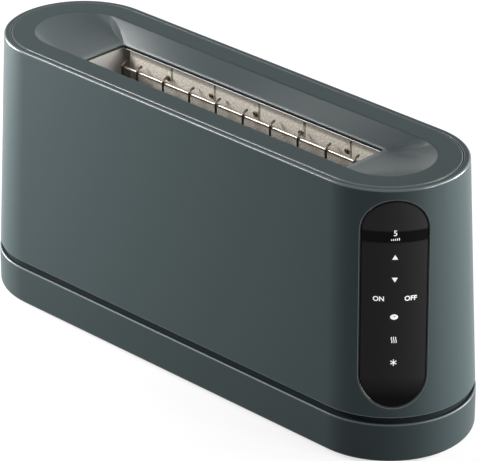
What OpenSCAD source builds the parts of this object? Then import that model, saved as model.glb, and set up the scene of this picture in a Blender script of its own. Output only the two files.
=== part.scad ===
// Long slot toaster with a motor lift, a touch glass and a crumb tray.
// X runs along the slot, the control end is at +X, the front is at -Y, Z is up, and the floor is z = 0.

/* [Body] */
// Length of the body at its top rim
body_l = 384.8; // [376:0.2:400]
// Width of the body at its top rim
body_w = 104.8; // [100:0.2:112]
// Height of the body shell
body_h = 156.5; // [154:0.5:164]
// How much further out the shell's foot stands than its rim, on each long side
side_draft = 4.4; // [3:0.1:6]
// How much further out the shell's foot stands than its rim, at each end
end_draft = 8.2; // [5:0.1:10]
// Thickness of the shell's sheet
shell_wall = 1.6; // [1.2:0.1:2]
// Width of the flat rim round the top cover
rim_w = 4.4; // [3.8:0.1:5.4]
// Chamfer on the outer edge of the rim
rim_edge = 1.2; // [0.6:0.1:1.6]

/* [Base] */
// Height of the base ring
base_h = 28; // [27:0.5:32]
// How far the base ring stands out past the shell's foot
base_step = 0.6; // [0.2:0.1:1.5]
// Thickness of the base ring's wall
base_wall = 2.5; // [2:0.1:3]
// Height of the groove between the base ring and the shell
groove_h = 4.5; // [3.5:0.1:6]
// Height of the base ring above the floor
foot_lift = 1.5; // [1.2:0.1:3]
// Radius of a rubber foot
foot_r = 7; // [5:0.5:9]

/* [Slot] */
// Distance from each end of the bread slot to the end of the rim
end_bay = 72.9; // [70:0.1:78]
// Width of the bread slot
slot_w = 38.8; // [36:0.2:42]
// Depth of the sunk recess round the slot
recess_depth = 10; // [8:0.5:11]
// Width of the recess at its upper edge
recess_w = 64; // [56:0.5:68]
// Height of the upright lip below the recess
slot_lip = 2.2; // [1.5:0.1:3]
// Thickness of the top cover
cover_t = 2; // [1.6:0.1:2.4]

/* [Touch panel] */
// Direction of the panel round the end, from +X toward the front
panel_turn = 43; // [38:1:48]
// Width of the glass
panel_w = 43.6; // [38:0.2:48]
// Height of the glass's lower end above the shell's foot
panel_rise = 7; // [5.5:0.5:16]
// Depth of the glass's upper end below the top of the rim
panel_drop = 6.9; // [6.5:0.1:16]
// Thickness of the glass
glass_t = 2.4; // [2:0.1:3]
// Width of the bezel line round the glass
bezel_w = 0.8; // [0.6:0.1:1.2]

/* [Toasting chamber] */
// Thickness of the chamber's steel sheet
sheet = 1; // [0.8:0.1:1.2]
// Distance from the middle of the slot to a heater card's inner face
card_y = 21; // [20.6:0.1:23]
// Distance from the middle of the slot to a reflector's inner face
reflector_y = 27; // [25.6:0.1:29]
// Number of runs of a heater ribbon
ribbon_runs = 10; // [6:1:10]
// Distance from a card's upper edge to the top run of its heater ribbon
ribbon_top = 26; // [14:0.5:40]
// Distance from a heater card's last slit to the chamber's control end
slit_end = 29.9; // [24:0.1:40]

/* [Bread guards] */
// Distance from the middle of the slot to a guard's rods
guard_y = 14.8; // [13:0.1:15]
// Distance from the last evenly spaced guard wire to the chamber's end
wire_end = 20.1; // [12:0.1:40]
// Radius of a guard wire
wire_r = 0.8; // [0.6:0.05:1]
// Radius of a guard's rods
rod_r = 1.1; // [0.9:0.05:1.3]
// Angle by which a guard closes as the shelf goes down
guard_close = 2.7; // [1.5:0.1:3]

/* [Lift] */
// Depth of the shelf's upper face below the chamber's top when it is up
shelf_depth = 57.8; // [54:0.1:60]
// Height of the shelf's upper face above the shell's foot when it is down
shelf_clear = 14; // [13:0.1:24]
// Width of the bread shelf
shelf_w = 12; // [10:0.5:15]
// Radius of a guide rod
guide_r = 2.5; // [2:0.1:3]
// Teeth on the small lift pinion
pinion_teeth = 14; // [12:1:16]
// Teeth on the large lift gear
gear_teeth = 42; // [36:1:44]
// Radius of the motor's can
motor_r = 12; // [10:0.5:13]
// Length of the motor's can
motor_l = 28; // [24:1:30]

/* [Crumb tray] */
// Distance from each end of the crumb tray to the chamber's end
tray_end = 10.1; // [8:0.1:20]
// Height of the crumb tray's rim above its floor
tray_rim = 10; // [8:0.5:12]
// Width of the finger scoop in the tray's front
scoop_w = 36; // [26:1:44]

/* [Part to build] */
// Name of the node to draw, or all

/* [Hidden] */
$fn = 64;
arc_n = 40;
past = 1;
gap = 0.3;
run_gap = 0.05;

// Heights
ring_z0 = foot_lift;
ring_z1 = ring_z0 + base_h;
shell_z0 = ring_z1 + groove_h;
shell_z1 = shell_z0 + body_h;
cover_z0 = shell_z1 - cover_t;
slot_z = shell_z1 - recess_depth;
lip_z0 = slot_z - slot_lip;
plate_z0 = ring_z0 + 0.5;
plate_t = 2;
floor_z = plate_z0 + plate_t;
frame_z1 = lip_z0 - 0.5;

// Outlines: rim, foot and base are stadiums, each with a straight length and an end radius
rim_r = body_w / 2;
rim_s = body_l - body_w;
shell_foot_l = body_l + 2 * end_draft;
shell_foot_w = body_w + 2 * side_draft;
shell_foot_r = shell_foot_w / 2;
foot_s = shell_foot_l - shell_foot_w;
base_r = shell_foot_r + base_step;
ledge_w = 2.4;
ledge_t = 2;
cover_r = rim_r - rim_w - gap;
lip_in = 5.4;
lip_t = 1.6;
neck_out = base_r - 3;
neck_in = shell_foot_r - lip_in - 0.6;
ring_flange = 11;
ring_edge = 4;
ring_flange_z = floor_z + 2.5;
ring_rabbet = base_r - ring_edge - 0.4;

// Toasting chamber
slot_l = body_l - 2 * end_bay;
chamber_x = slot_l / 2 + 0.6;
end_x = chamber_x + sheet;
end_half_w = reflector_y + 5;
flange_l = 22;
top_tab_z = frame_z1 - 4;
reflector_t = 0.8;
card_t = 1;
card_z0 = shell_z0 + 14;
card_z1 = frame_z1 - 1.6;
card_tab_h = 8;
card_tab_z = [card_z0 + 20, card_z1 - 34];
ribbon_t = 0.4;
ribbon_w = 2.2;
ribbon_z0 = card_z0 + 10;
ribbon_pitch = (card_z1 - ribbon_top - ribbon_w - ribbon_z0) / (ribbon_runs - 1);
ribbon_half = chamber_x - 12;
slit_pitch = (chamber_x - slit_end) / 2.2;
slit_x = [for (k = [-2:2]) slit_pitch * (k + 0.2)];
clip_t = 0.5;
clip_w = 4.6;

// Bread guards: each turns about its lower rod
pivot_z = shell_z0 + 8;
guard_top_z = frame_z1 - 11.1;
wire_y = guard_y - rod_r - wire_r + 0.25;
wire_half = 4;
wire_pitch = (chamber_x - wire_end) / wire_half;
guard_half = chamber_x - 2.5;
end_wire_x = chamber_x - 6;
pivot_end = end_x + 1.6;
pin_r = 1.2;
pin_z = pivot_z + 50;

// Lift: the carriage blocks slide on two upright rods outside the end plates
shelf_up_z = frame_z1 - shelf_depth;
lift_travel = shelf_up_z - shell_z0 - shelf_clear;
guide_x = end_x + 14;
bush_r = guide_r + 2;
block_w = 14;
block_in = end_x + 3.4;
block_out = guide_x + 5.5;
block_z0 = shelf_up_z - 14;
block_z1 = shelf_up_z + 10;
tab_w = 6;
tab_x = guide_x - bush_r - 0.5;
tab_screw_x = block_in + 2.7;
shelf_t = 1.4;
cam_t = 1.5;
tooth = 1;
pressure = 25;
backlash = 0.12;
pinion_r = tooth * pinion_teeth / 2;
gear_r = tooth * gear_teeth / 2;
rack_y0 = block_w / 2;
rack_root_y = rack_y0 + 4.8;
rack_pitch_y = rack_root_y + 1.25 * tooth;
rack_in = end_x + 9;
rack_w = 6;
mesh_z = top_tab_z - 10 - lift_travel;
gear_y = rack_pitch_y + pinion_r;
gear_in = rack_in + rack_w + 6;
gear_w = 4;
axle_r = 2;
motor_pinion_teeth = 14;
motor_pinion_r = tooth * motor_pinion_teeth / 2;
motor_z = mesh_z - gear_r - motor_pinion_r;
motor_x = gear_in + gear_w + 4;
bracket_t = 1.5;
bracket_y0 = rack_pitch_y + tooth + 2;
bracket_z0 = motor_z - motor_r - 6;
motor_foot_y = [bracket_y0 + 4, bracket_y0 + 10];
shaft_r = 1.5;

// Touch panel
end_axis_x = (rim_s + foot_s) / 4;
panel_z0 = shell_z0 + panel_rise;
panel_z1 = shell_z1 - panel_drop;
panel_h = panel_z1 - panel_z0;
carrier_t = 2.2;
glass_in = gap + glass_t;
board_reach = rim_r - glass_in - carrier_t - 6;
touch_t = 1.6;
touch_w = panel_w - 14;
touch_h = panel_h - 26;
display_z = panel_z1 - 23;
carrier_post_z = [panel_z0 + 16, panel_z1 - 44];

// Crumb tray
tray_half = chamber_x - tray_end;
tray_z0 = ring_flange_z + gap;
tray_t = 0.8;
tray_y0 = -(neck_in - 8);
front_half = tray_half + 2;
front_y0 = base_r - base_wall - 2.2;
front_z0 = ring_flange_z + gap;
front_z1 = ring_z1 - 4.5;

// Boards and mains inlet
holder_x0 = end_x + flange_l + 2 * gap;
holder_l = 36;
power_y = 18;
power_t = 1.6;
power_z1 = floor_z + 104;
gland_x = end_x + 10;
gland_z = floor_z + 11;
gland_r = 5.5;
gland_bore = 3.4;

// Screw places
base_screw_x = end_x + 15;
base_screw_y = 20;
cover_screw_x = end_x + 12;
cover_screw_y = 19;
frame_screw_z = [card_z0 + 16, card_z1 - 26];
frame_screw_y = reflector_y + 3;
foot_x = end_x + 8;
foot_y = 31;

// Stadium outline of overall length l and width w, as points counted round its two ends
function stadium_points(l, w) = concat(
    [for (i = [0:arc_n]) let (a = -90 + 180 * i / arc_n) [(l - w + w * cos(a)) / 2, w * sin(a) / 2]],
    [for (i = [0:arc_n]) let (a = 90 + 180 * i / arc_n) [(w - l + w * cos(a)) / 2, w * sin(a) / 2]]);

// Point on one short side of a rounded slot that faces the end arc's direction a
function slot_side(l, w, c, a) =
    a < -45 ? [l / 2 - c + c * cos(2 * a + 90), c - w / 2 + c * sin(2 * a + 90)] :
    a > 45 ? [l / 2 - c + c * cos(2 * a - 90), w / 2 - c + c * sin(2 * a - 90)] :
    [l / 2, (w / 2 - c) * a / 45];

// Slot outline with corner radius c, with as many points as a stadium
function slot_points(l, w, c) = let (side = [for (i = [0:arc_n]) slot_side(l, w, c, -90 + 180 * i / arc_n)])
    concat(side, [for (p = side) -p]);

function at_height(points, z) = [for (p = points) [p[0], p[1], z]];

// Shell outline at height z, moved inward by d
function shell_at(z, d) = let (f = (shell_z1 - z) / body_h)
    at_height(stadium_points(body_l + 2 * (end_draft * f - d), body_w + 2 * (side_draft * f - d)), z);

// Closed solid through rings of equally many points, lowest ring first
module loft(rings) {
    n = len(rings[0]);
    top = (len(rings) - 1) * n;
    sides = [for (k = [0:len(rings) - 2]) for (i = [0:n - 1])
        let (a = k * n + i, b = k * n + (i + 1) % n) each [[a, a + n, b + n], [a, b + n, b]]];
    polyhedron([for (r = rings) each r], concat([[for (i = [0:n - 1]) i]], sides,
        [[for (i = [n - 1:-1:0]) top + i]]));
}

// Upright solid with a stadium outline
module stadium_prism(s, r, z0, z1) {
    translate([0, 0, z0])
        linear_extrude(z1 - z0) {
            square([s, 2 * r], center = true);
            for (side = [-1, 1])
                translate([side * s / 2, 0]) circle(r);
        }
}

// Ring with a stadium path, from a profile drawn as distance from the path's middle line and height
module stadium_ring(s) {
    for (turn = [0, 180])
        rotate(turn) {
            translate([s / 2, 0, 0]) rotate(-90) rotate_extrude(angle = 180) children();
            translate([-s / 2, 0, 0]) rotate([90, 0, 90]) linear_extrude(s) children();
        }
}

// Box from its lower to its upper corner
module box(low, high) {
    translate(low) cube(high - low);
}

// Round bar along X
module bar_x(r, x0, x1, y, z) {
    translate([x0, y, z]) rotate([0, 90, 0]) cylinder(h = x1 - x0, r = r);
}

// Round bar along Y
module bar_y(r, y0, y1, x, z) {
    translate([x, y1, z]) rotate([90, 0, 0]) cylinder(h = y1 - y0, r = r);
}

// Upright round bar
module bar_z(r, z0, z1, x, y) {
    translate([x, y, z0]) cylinder(h = z1 - z0, r = r);
}

// Obround solid that runs out through the right end along the panel's direction
module panel_prism(grow) {
    r = panel_w / 2 + grow;
    reach = shell_foot_l;
    translate([end_axis_x, 0, panel_z0 + panel_h / 2]) rotate(-panel_turn) rotate([90, 0, 90])
        linear_extrude(reach) {
            square([2 * r, panel_h - panel_w], center = true);
            for (end = [-1, 1])
                translate([0, end * (panel_h - panel_w) / 2]) circle(r);
        }
}

// Layer of the shell's surface between two depths
module shell_layer(d0, d1) {
    z0 = shell_z0 + lip_t + gap;
    z1 = cover_z0 - ledge_t - gap;
    difference() {
        loft([shell_at(z0, d0), shell_at(z1, d0)]);
        loft([shell_at(z0 - past, d1), shell_at(z1 + past, d1)]);
    }
}

// Places its children in the panel's own frame: X outward from the end's axis, Y along the panel's width
module at_panel(z) {
    translate([end_axis_x, 0, z]) rotate(-panel_turn) children();
}

function involute(a) = tan(a) * 180 / PI - a;
function tooth_half(n, r) = let (pitch_r = tooth * n / 2, root_r = pitch_r * cos(pressure))
    90 / n - backlash / pitch_r * 90 / PI + involute(pressure) - involute(acos(min(1, root_r / r)));
function polar(r, a) = [r * cos(a), r * sin(a)];

// Spur gear outline of n teeth with a tooth centred on angle 0
module gear_outline(n) {
    pitch_r = tooth * n / 2;
    start_r = max(pitch_r * cos(pressure), pitch_r - 1.25 * tooth) + 0.01;
    root_r = pitch_r - 1.25 * tooth;
    tip_r = pitch_r + tooth;
    flank = [for (k = [0:3]) start_r + (tip_r - start_r) * k / 3];
    polygon([for (i = [0:n - 1]) let (t = 360 * i / n) each concat(
        [polar(root_r, t - tooth_half(n, start_r))],
        [for (k = [0:3]) polar(flank[k], t - tooth_half(n, flank[k]))],
        [for (k = [3:-1:0]) polar(flank[k], t + tooth_half(n, flank[k]))],
        [polar(root_r, t + tooth_half(n, start_r))])]);
}

// Spur gear along X from x0 to x1; its first tooth points in direction lead, counted from +Y toward +Z
module gear(n, x0, x1, y, z, lead) {
    translate([x0, y, z]) rotate([90, 0, 90]) rotate(lead) linear_extrude(x1 - x0) gear_outline(n);
}

// Pan-head screw along +Z with its head's upper face at the origin and its shank below
module screw(head_r, head_h, shank_r, shank_l) {
    translate([0, 0, -head_h]) cylinder(h = head_h, r = head_r);
    translate([0, 0, -head_h - shank_l]) cylinder(h = shank_l + 0.01, r = shank_r);
}

module body_shell() {
    color([0.27, 0.31, 0.3])
    difference() {
        loft([shell_at(shell_z0, 0), shell_at(shell_z1 - rim_edge, 0), shell_at(shell_z1, rim_edge)]);
        loft([shell_at(shell_z0 + lip_t, shell_wall), shell_at(cover_z0 - ledge_t, shell_wall)]);
        stadium_prism(rim_s, rim_r - rim_w, cover_z0, shell_z1 + past);
        stadium_prism(rim_s, rim_r - rim_w - ledge_w, cover_z0 - ledge_t - past, shell_z1);
        stadium_prism(foot_s, shell_foot_r - lip_in, shell_z0 - past, shell_z0 + lip_t + past);
        panel_prism(bezel_w + gap);
    }
}

module top_cover() {
    wall = 1.6;
    color([0.27, 0.31, 0.3])
    difference() {
        union() {
            stadium_prism(rim_s, cover_r, cover_z0, shell_z1);
            loft([at_height(slot_points(slot_l + 2 * wall, slot_w + 2 * wall, 3), lip_z0),
                at_height(slot_points(slot_l + 2 * wall, slot_w + 2 * wall, 3), slot_z - wall),
                at_height(stadium_points(rim_s + recess_w + 1, recess_w + 1), cover_z0 + 0.1)]);
            for (sx = [-1, 1], sy = [-1, 1])
                bar_z(3.6, top_tab_z + sheet, cover_z0 + 0.1, sx * cover_screw_x, sy * cover_screw_y);
        }
        loft([at_height(slot_points(slot_l, slot_w, 1.5), lip_z0 - past),
            at_height(slot_points(slot_l, slot_w, 1.5), slot_z),
            at_height(stadium_points(rim_s + recess_w, recess_w), shell_z1),
            at_height(stadium_points(rim_s + recess_w, recess_w), shell_z1 + past)]);
        for (sx = [-1, 1], sy = [-1, 1])
            bar_z(1.5, top_tab_z, top_tab_z + sheet + 3.5, sx * cover_screw_x, sy * cover_screw_y);
    }
}

module base_ring() {
    arc = [for (i = [0:6]) let (a = -90 + 15 * i)
        [base_r - ring_edge + ring_edge * cos(a), ring_z0 + ring_edge + ring_edge * sin(a)]];
    color([0.25, 0.29, 0.28])
    difference() {
        stadium_ring(foot_s)
            polygon(concat([[ring_rabbet, ring_z0]], arc, [[base_r, ring_z1 - 0.6], [base_r - 0.6, ring_z1],
                [neck_out, ring_z1], [neck_out, shell_z0], [neck_in, shell_z0], [neck_in, ring_z1 - 2.2],
                [base_r - base_wall, ring_z1 - 2.2], [base_r - base_wall, ring_flange_z],
                [base_r - ring_flange, ring_flange_z], [base_r - ring_flange, floor_z],
                [ring_rabbet, floor_z]]));
        box([-front_half - gap, base_r - base_wall - past, ring_flange_z],
            [front_half + gap, base_r + past, front_z1 + gap]);
        bar_y(gland_r, base_r - base_wall - past, base_r + past, gland_x, gland_z);
    }
}

module base_plate() {
    vent_l = 26;
    vent_w = 3;
    rail_x = tray_half + gap;
    rail_y1 = base_r - ring_flange - 2 * gap;
    color([0.16, 0.16, 0.17])
    difference() {
        union() {
            stadium_prism(foot_s, ring_rabbet - gap, plate_z0, floor_z);
            for (side = [-1, 1])
                box([side > 0 ? rail_x : -rail_x - 2, tray_y0, floor_z - 0.1],
                    [side > 0 ? rail_x + 2 : -rail_x, rail_y1, tray_z0 + tray_rim]);
            for (x = [-tray_half * 0.6, tray_half * 0.6])
                box([x - 2, tray_y0, floor_z - 0.1], [x + 2, rail_y1, tray_z0 - gap]);
        }
        for (x = [-4:4], y = [-20, 12])
            box([x * 14 - vent_w / 2, y - vent_l / 2, plate_z0 - past],
                [x * 14 + vent_w / 2, y + vent_l / 2, floor_z + past]);
        for (sx = [-1, 1], sy = [-1, 1]) {
            bar_z(2.5, plate_z0 - past, floor_z + past, sx * foot_x, sy * foot_y);
            bar_z(1.7, plate_z0 - past, floor_z + past, sx * base_screw_x, sy * base_screw_y);
        }
    }
}

module rubber_feet() {
    color([0.09, 0.09, 0.09])
    for (sx = [-1, 1], sy = [-1, 1]) {
        bar_z(foot_r, 0, plate_z0, sx * foot_x, sy * foot_y);
        bar_z(2.5, plate_z0 - 0.1, floor_z + 0.1, sx * foot_x, sy * foot_y);
        bar_z(3.4, floor_z, floor_z + 1.6, sx * foot_x, sy * foot_y);
    }
}

module crumb_tray() {
    color([0.62, 0.62, 0.61])
    difference() {
        box([-tray_half, tray_y0, tray_z0], [tray_half, front_y0, tray_z0 + tray_rim]);
        box([-tray_half + tray_t, tray_y0 + tray_t, tray_z0 + tray_t],
            [tray_half - tray_t, front_y0 - tray_t, tray_z0 + tray_rim + past]);
    }
}

module tray_front() {
    scoop_h = 6;
    color([0.25, 0.29, 0.28])
    difference() {
        box([-front_half, front_y0, front_z0], [front_half, base_r, front_z1]);
        box([-scoop_w / 2, base_r - 3.4, front_z0 - past],
            [scoop_w / 2, base_r + past, front_z0 + scoop_h]);
    }
}

// End plate of the toasting chamber on side +X, before the holes that only one end has
module end_plate_blank() {
    difference() {
        union() {
            box([chamber_x, -end_half_w, floor_z], [end_x, end_half_w, frame_z1]);
            box([chamber_x, -end_half_w + 6, floor_z], [end_x + flange_l, end_half_w - 6, floor_z + 2]);
            box([chamber_x, -end_half_w + 6, top_tab_z],
                [end_x + flange_l, end_half_w - 6, top_tab_z + sheet]);
        }
        box([chamber_x - past, -tab_w / 2 - 0.5, shelf_up_z - lift_travel - 4],
            [end_x + past, tab_w / 2 + 0.5, shelf_up_z + 2]);
        bar_z(guide_r, floor_z - past, frame_z1, guide_x, 0);
        for (sy = [-1, 1]) {
            bar_x(rod_r + run_gap, chamber_x - past, end_x + past, sy * guard_y, pivot_z);
            bar_z(1.7, floor_z - past, floor_z + 2 + past, base_screw_x, sy * base_screw_y);
            bar_z(3.7, floor_z - past, floor_z + 2 + past, foot_x, sy * foot_y);
            bar_z(1.5, top_tab_z - past, frame_z1, cover_screw_x, sy * cover_screw_y);
            for (z = frame_screw_z)
                bar_x(1.5, chamber_x - past, end_x + past, sy * frame_screw_y, z);
            for (z = card_tab_z)
                translate([chamber_x - past, sy * (card_y + card_t / 2) - card_t / 2 - 0.1, z - 0.1])
                    cube([sheet + 2 * past, card_t + 0.2, card_tab_h + 0.2]);
        }
    }
}

module left_end_plate() {
    color([0.72, 0.71, 0.67])
    difference() {
        mirror([1, 0, 0]) end_plate_blank();
        bar_x(axle_r, -end_x - past, -chamber_x + past, gear_y, mesh_z);
        for (y = motor_foot_y)
            bar_x(1.2, -end_x - past, -chamber_x + past, y, bracket_z0 - 5);
    }
}

module right_end_plate() {
    swing = (pin_z - pivot_z) * sin(guard_close);
    color([0.72, 0.71, 0.67])
    difference() {
        end_plate_blank();
        for (sy = [-1, 1])
            mirror([0, sy < 0 ? 1 : 0, 0])
                box([chamber_x - past, wire_y - swing - pin_r - 0.6, pin_z - pin_r - 0.6],
                    [end_x + past, wire_y + pin_r + 0.6, pin_z + pin_r + 0.6]);
    }
}

// Reflector on side +Y, with a folded top edge and screw tabs
module reflector() {
    tab_h = 10;
    difference() {
        union() {
            box([-chamber_x, reflector_y, shell_z0 + 4],
                [chamber_x, reflector_y + reflector_t, frame_z1]);
            box([-chamber_x, slot_w / 2 + 0.8, frame_z1 - reflector_t],
                [chamber_x, reflector_y + reflector_t, frame_z1]);
            for (side = [-1, 1], z = frame_screw_z)
                box([side > 0 ? chamber_x - reflector_t : -chamber_x, reflector_y, z - tab_h / 2],
                    [side > 0 ? chamber_x : reflector_t - chamber_x, end_half_w, z + tab_h / 2]);
        }
        for (z = frame_screw_z)
            bar_x(1.5, -end_x, end_x, frame_screw_y, z);
    }
}

module front_reflector() {
    color([0.78, 0.78, 0.75]) mirror([0, 1, 0]) reflector();
}

module rear_reflector() {
    color([0.78, 0.78, 0.75]) reflector();
}

// Heater card on side +Y, with end tabs and slits in its upper edge
module heater_card() {
    slit_w = 1;
    slit_h = 14;
    difference() {
        union() {
            box([-chamber_x + gap, card_y, card_z0], [chamber_x - gap, card_y + card_t, card_z1]);
            for (z = card_tab_z)
                box([-end_x - 1, card_y, z], [end_x + 1, card_y + card_t, z + card_tab_h]);
        }
        for (x = slit_x)
            box([x - slit_w / 2, card_y - past, card_z1 - slit_h],
                [x + slit_w / 2, card_y + card_t + past, card_z1 + past]);
    }
}

module front_heater_card() {
    color([0.66, 0.63, 0.56]) mirror([0, 1, 0]) heater_card();
}

module rear_heater_card() {
    color([0.66, 0.63, 0.56]) heater_card();
}

// Flat ribbon that runs to and fro over a card's inner face, as one strip
module heater_ribbon() {
    for (k = [0:ribbon_runs - 1])
        box([-ribbon_half, card_y - ribbon_t, ribbon_z0 + k * ribbon_pitch],
            [ribbon_half, card_y, ribbon_z0 + k * ribbon_pitch + ribbon_w]);
    for (k = [0:ribbon_runs - 2]) {
        x = k % 2 == 0 ? ribbon_half - ribbon_w : -ribbon_half;
        box([x, card_y - ribbon_t, ribbon_z0 + k * ribbon_pitch],
            [x + ribbon_w, card_y, ribbon_z0 + (k + 1) * ribbon_pitch + ribbon_w]);
    }
}

module front_heater_ribbon() {
    color([0.5, 0.42, 0.36]) mirror([0, 1, 0]) heater_ribbon();
}

module rear_heater_ribbon() {
    color([0.5, 0.42, 0.36]) heater_ribbon();
}

// Riveted clips that hang a card from the reflector's folded edge
module card_clips() {
    rivet_z = card_z1 - 8;
    for (x = slit_x) {
        box([x - 1 - clip_w, card_y - clip_t, card_z1 - 11],
            [x - 1, card_y, frame_z1 - reflector_t]);
        bar_y(1.1, card_y - clip_t - 0.5, card_y - clip_t + 0.1, x - 1 - clip_w / 2, rivet_z);
    }
}

module front_card_clips() {
    color([0.7, 0.69, 0.66]) mirror([0, 1, 0]) card_clips();
}

module rear_card_clips() {
    color([0.7, 0.69, 0.66]) card_clips();
}

// Bread guard on side +Y: two rods, upright wires hooked over the upper rod, and the cam pin at +X
module bread_guard() {
    bend_r = 1.3;
    tail = 3.4;
    hook_z = guard_top_z + rod_r + 0.1;
    bar_x(rod_r, -pivot_end, pivot_end, guard_y, pivot_z);
    bar_x(rod_r, -guard_half, guard_half, guard_y, guard_top_z);
    bar_x(pin_r, end_wire_x, end_x + 6, wire_y, pin_z);
    for (x = concat([-end_wire_x, end_wire_x], [for (k = [-wire_half:wire_half]) k * wire_pitch])) {
        bar_z(wire_r, pivot_z - rod_r, hook_z, x, wire_y);
        translate([x, wire_y + bend_r, hook_z]) rotate([90, 0, 90]) rotate(90) {
            rotate_extrude(angle = 90) translate([bend_r, 0]) circle(wire_r);
            translate([bend_r, 0.01, 0]) rotate([90, 0, 0]) cylinder(h = tail, r = wire_r);
        }
    }
}

module front_bread_guard() {
    color([0.74, 0.73, 0.7]) mirror([0, 1, 0]) bread_guard();
}

module rear_bread_guard() {
    color([0.74, 0.73, 0.7]) bread_guard();
}

module bread_shelf() {
    hole_l = 14;
    rib_h = 1.2;
    shelf_half = chamber_x - 4;
    color([0.7, 0.69, 0.66])
    difference() {
        union() {
            box([-shelf_half, -shelf_w / 2, shelf_up_z - shelf_t], [shelf_half, shelf_w / 2, shelf_up_z]);
            box([-tab_x, -tab_w / 2, shelf_up_z - shelf_t], [tab_x, tab_w / 2, shelf_up_z]);
            for (k = [-wire_half:wire_half])
                box([k * wire_pitch - 1, -shelf_w / 2, shelf_up_z - 0.1],
                    [k * wire_pitch + 1, shelf_w / 2, shelf_up_z + rib_h]);
        }
        for (k = [-wire_half:wire_half - 1])
            box([(k + 0.5) * wire_pitch - hole_l / 2, -2, shelf_up_z - shelf_t - past],
                [(k + 0.5) * wire_pitch + hole_l / 2, 2, shelf_up_z + past]);
        for (side = [-1, 1])
            bar_z(1.2, shelf_up_z - shelf_t - past, shelf_up_z + past, side * tab_screw_x, 0);
    }
}

// Carriage block on side +X, with a bush bore and a slot for the shelf's tab
module carriage_block() {
    difference() {
        box([block_in, -block_w / 2, block_z0], [block_out, block_w / 2, block_z1]);
        bar_z(bush_r, block_z0 - past, block_z1 + past, guide_x, 0);
        box([block_in - past, -tab_w / 2 - 0.05, shelf_up_z - shelf_t],
            [tab_x + 0.05, tab_w / 2 + 0.05, block_z1 + past]);
        bar_z(1.2, shelf_up_z - shelf_t - 6, shelf_up_z, tab_screw_x, 0);
    }
}

module left_carriage() {
    color([0.2, 0.2, 0.21]) mirror([1, 0, 0]) carriage_block();
}

module right_carriage() {
    color([0.2, 0.2, 0.21]) carriage_block();
}

module lift_rack() {
    pitch = PI * tooth;
    half_tip = pitch / 4 - backlash / 2 - tooth * tan(pressure);
    half_root = pitch / 4 - backlash / 2 + 1.25 * tooth * tan(pressure);
    count = floor((lift_travel + 6) / pitch);
    low = mesh_z - pitch * 1.5;
    high = mesh_z + pitch * (count + 0.5);
    color([0.86, 0.86, 0.84])
    translate([-rack_in - rack_w, 0, 0]) rotate([90, 0, 90])
        linear_extrude(rack_w)
            polygon(concat([[rack_root_y, high], [rack_y0, high], [rack_y0, low], [rack_root_y, low]],
                [for (k = [-1:count]) let (z = mesh_z + k * pitch) each [
                    [rack_root_y, z - half_root], [rack_pitch_y + tooth, z - half_tip],
                    [rack_pitch_y + tooth, z + half_tip], [rack_root_y, z + half_root]]]));
}

// Plate on the right carriage whose slanted slots draw the guards in as it goes down
module guard_cam() {
    swing = (pin_z - pivot_z) * sin(guard_close);
    slot_len = sqrt(lift_travel * lift_travel + swing * swing);
    lean = atan(swing / lift_travel);
    slot_r = pin_r + 0.2;
    cam_half = wire_y + 6;
    color([0.66, 0.66, 0.64])
    difference() {
        box([block_in - cam_t, -cam_half, pin_z - 7], [block_in, cam_half, pin_z + lift_travel + 5]);
        for (sy = [0, 1])
            mirror([0, sy, 0]) translate([block_in - cam_t - past, wire_y, pin_z]) rotate([lean, 0, 0]) {
                box([0, -slot_r, 0], [cam_t + 2 * past, slot_r, slot_len]);
                for (z = [0, slot_len])
                    translate([0, 0, z]) rotate([0, 90, 0]) cylinder(h = cam_t + 2 * past, r = slot_r);
            }
        box([block_in - cam_t - past, -tab_w / 2 - 0.05, shelf_up_z - shelf_t - 0.05],
            [block_in + past, tab_w / 2 + 0.05, block_z1]);
    }
}

module left_guide_rod() {
    color([0.8, 0.8, 0.8]) bar_z(guide_r, floor_z, top_tab_z + sheet, -guide_x, 0);
}

module right_guide_rod() {
    color([0.8, 0.8, 0.8]) bar_z(guide_r, floor_z, top_tab_z + sheet, guide_x, 0);
}

// Slide bush round a guide rod
module slide_bush() {
    difference() {
        bar_z(bush_r, block_z0, block_z1, guide_x, 0);
        bar_z(guide_r + run_gap, block_z0 - past, block_z1 + past, guide_x, 0);
    }
}

module left_slide_bush() {
    color([0.75, 0.62, 0.36]) mirror([1, 0, 0]) slide_bush();
}

module right_slide_bush() {
    color([0.75, 0.62, 0.36]) slide_bush();
}

module shelf_screws() {
    color([0.75, 0.75, 0.75])
    for (side = [-1, 1])
        translate([side * tab_screw_x, 0, shelf_up_z + 1.4]) screw(2.2, 1.4, 1.2, 6);
}

module lift_motor() {
    color([0.66, 0.67, 0.68])
    difference() {
        union() {
            bar_x(motor_r, -motor_x - bracket_t - motor_l, -motor_x - bracket_t, gear_y, motor_z);
            bar_x(4, -motor_x - bracket_t - 0.1, -motor_x, gear_y, motor_z);
            bar_x(4, -motor_x - bracket_t - motor_l - 2, -motor_x - bracket_t - motor_l + 0.1,
                gear_y, motor_z);
        }
        bar_x(shaft_r + run_gap, -motor_x - bracket_t - 12, -motor_x + past, gear_y, motor_z);
        for (dy = [-1, 1])
            bar_x(1.2, -motor_x - bracket_t - 5, -motor_x, gear_y + dy * 8, motor_z);
    }
}

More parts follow.
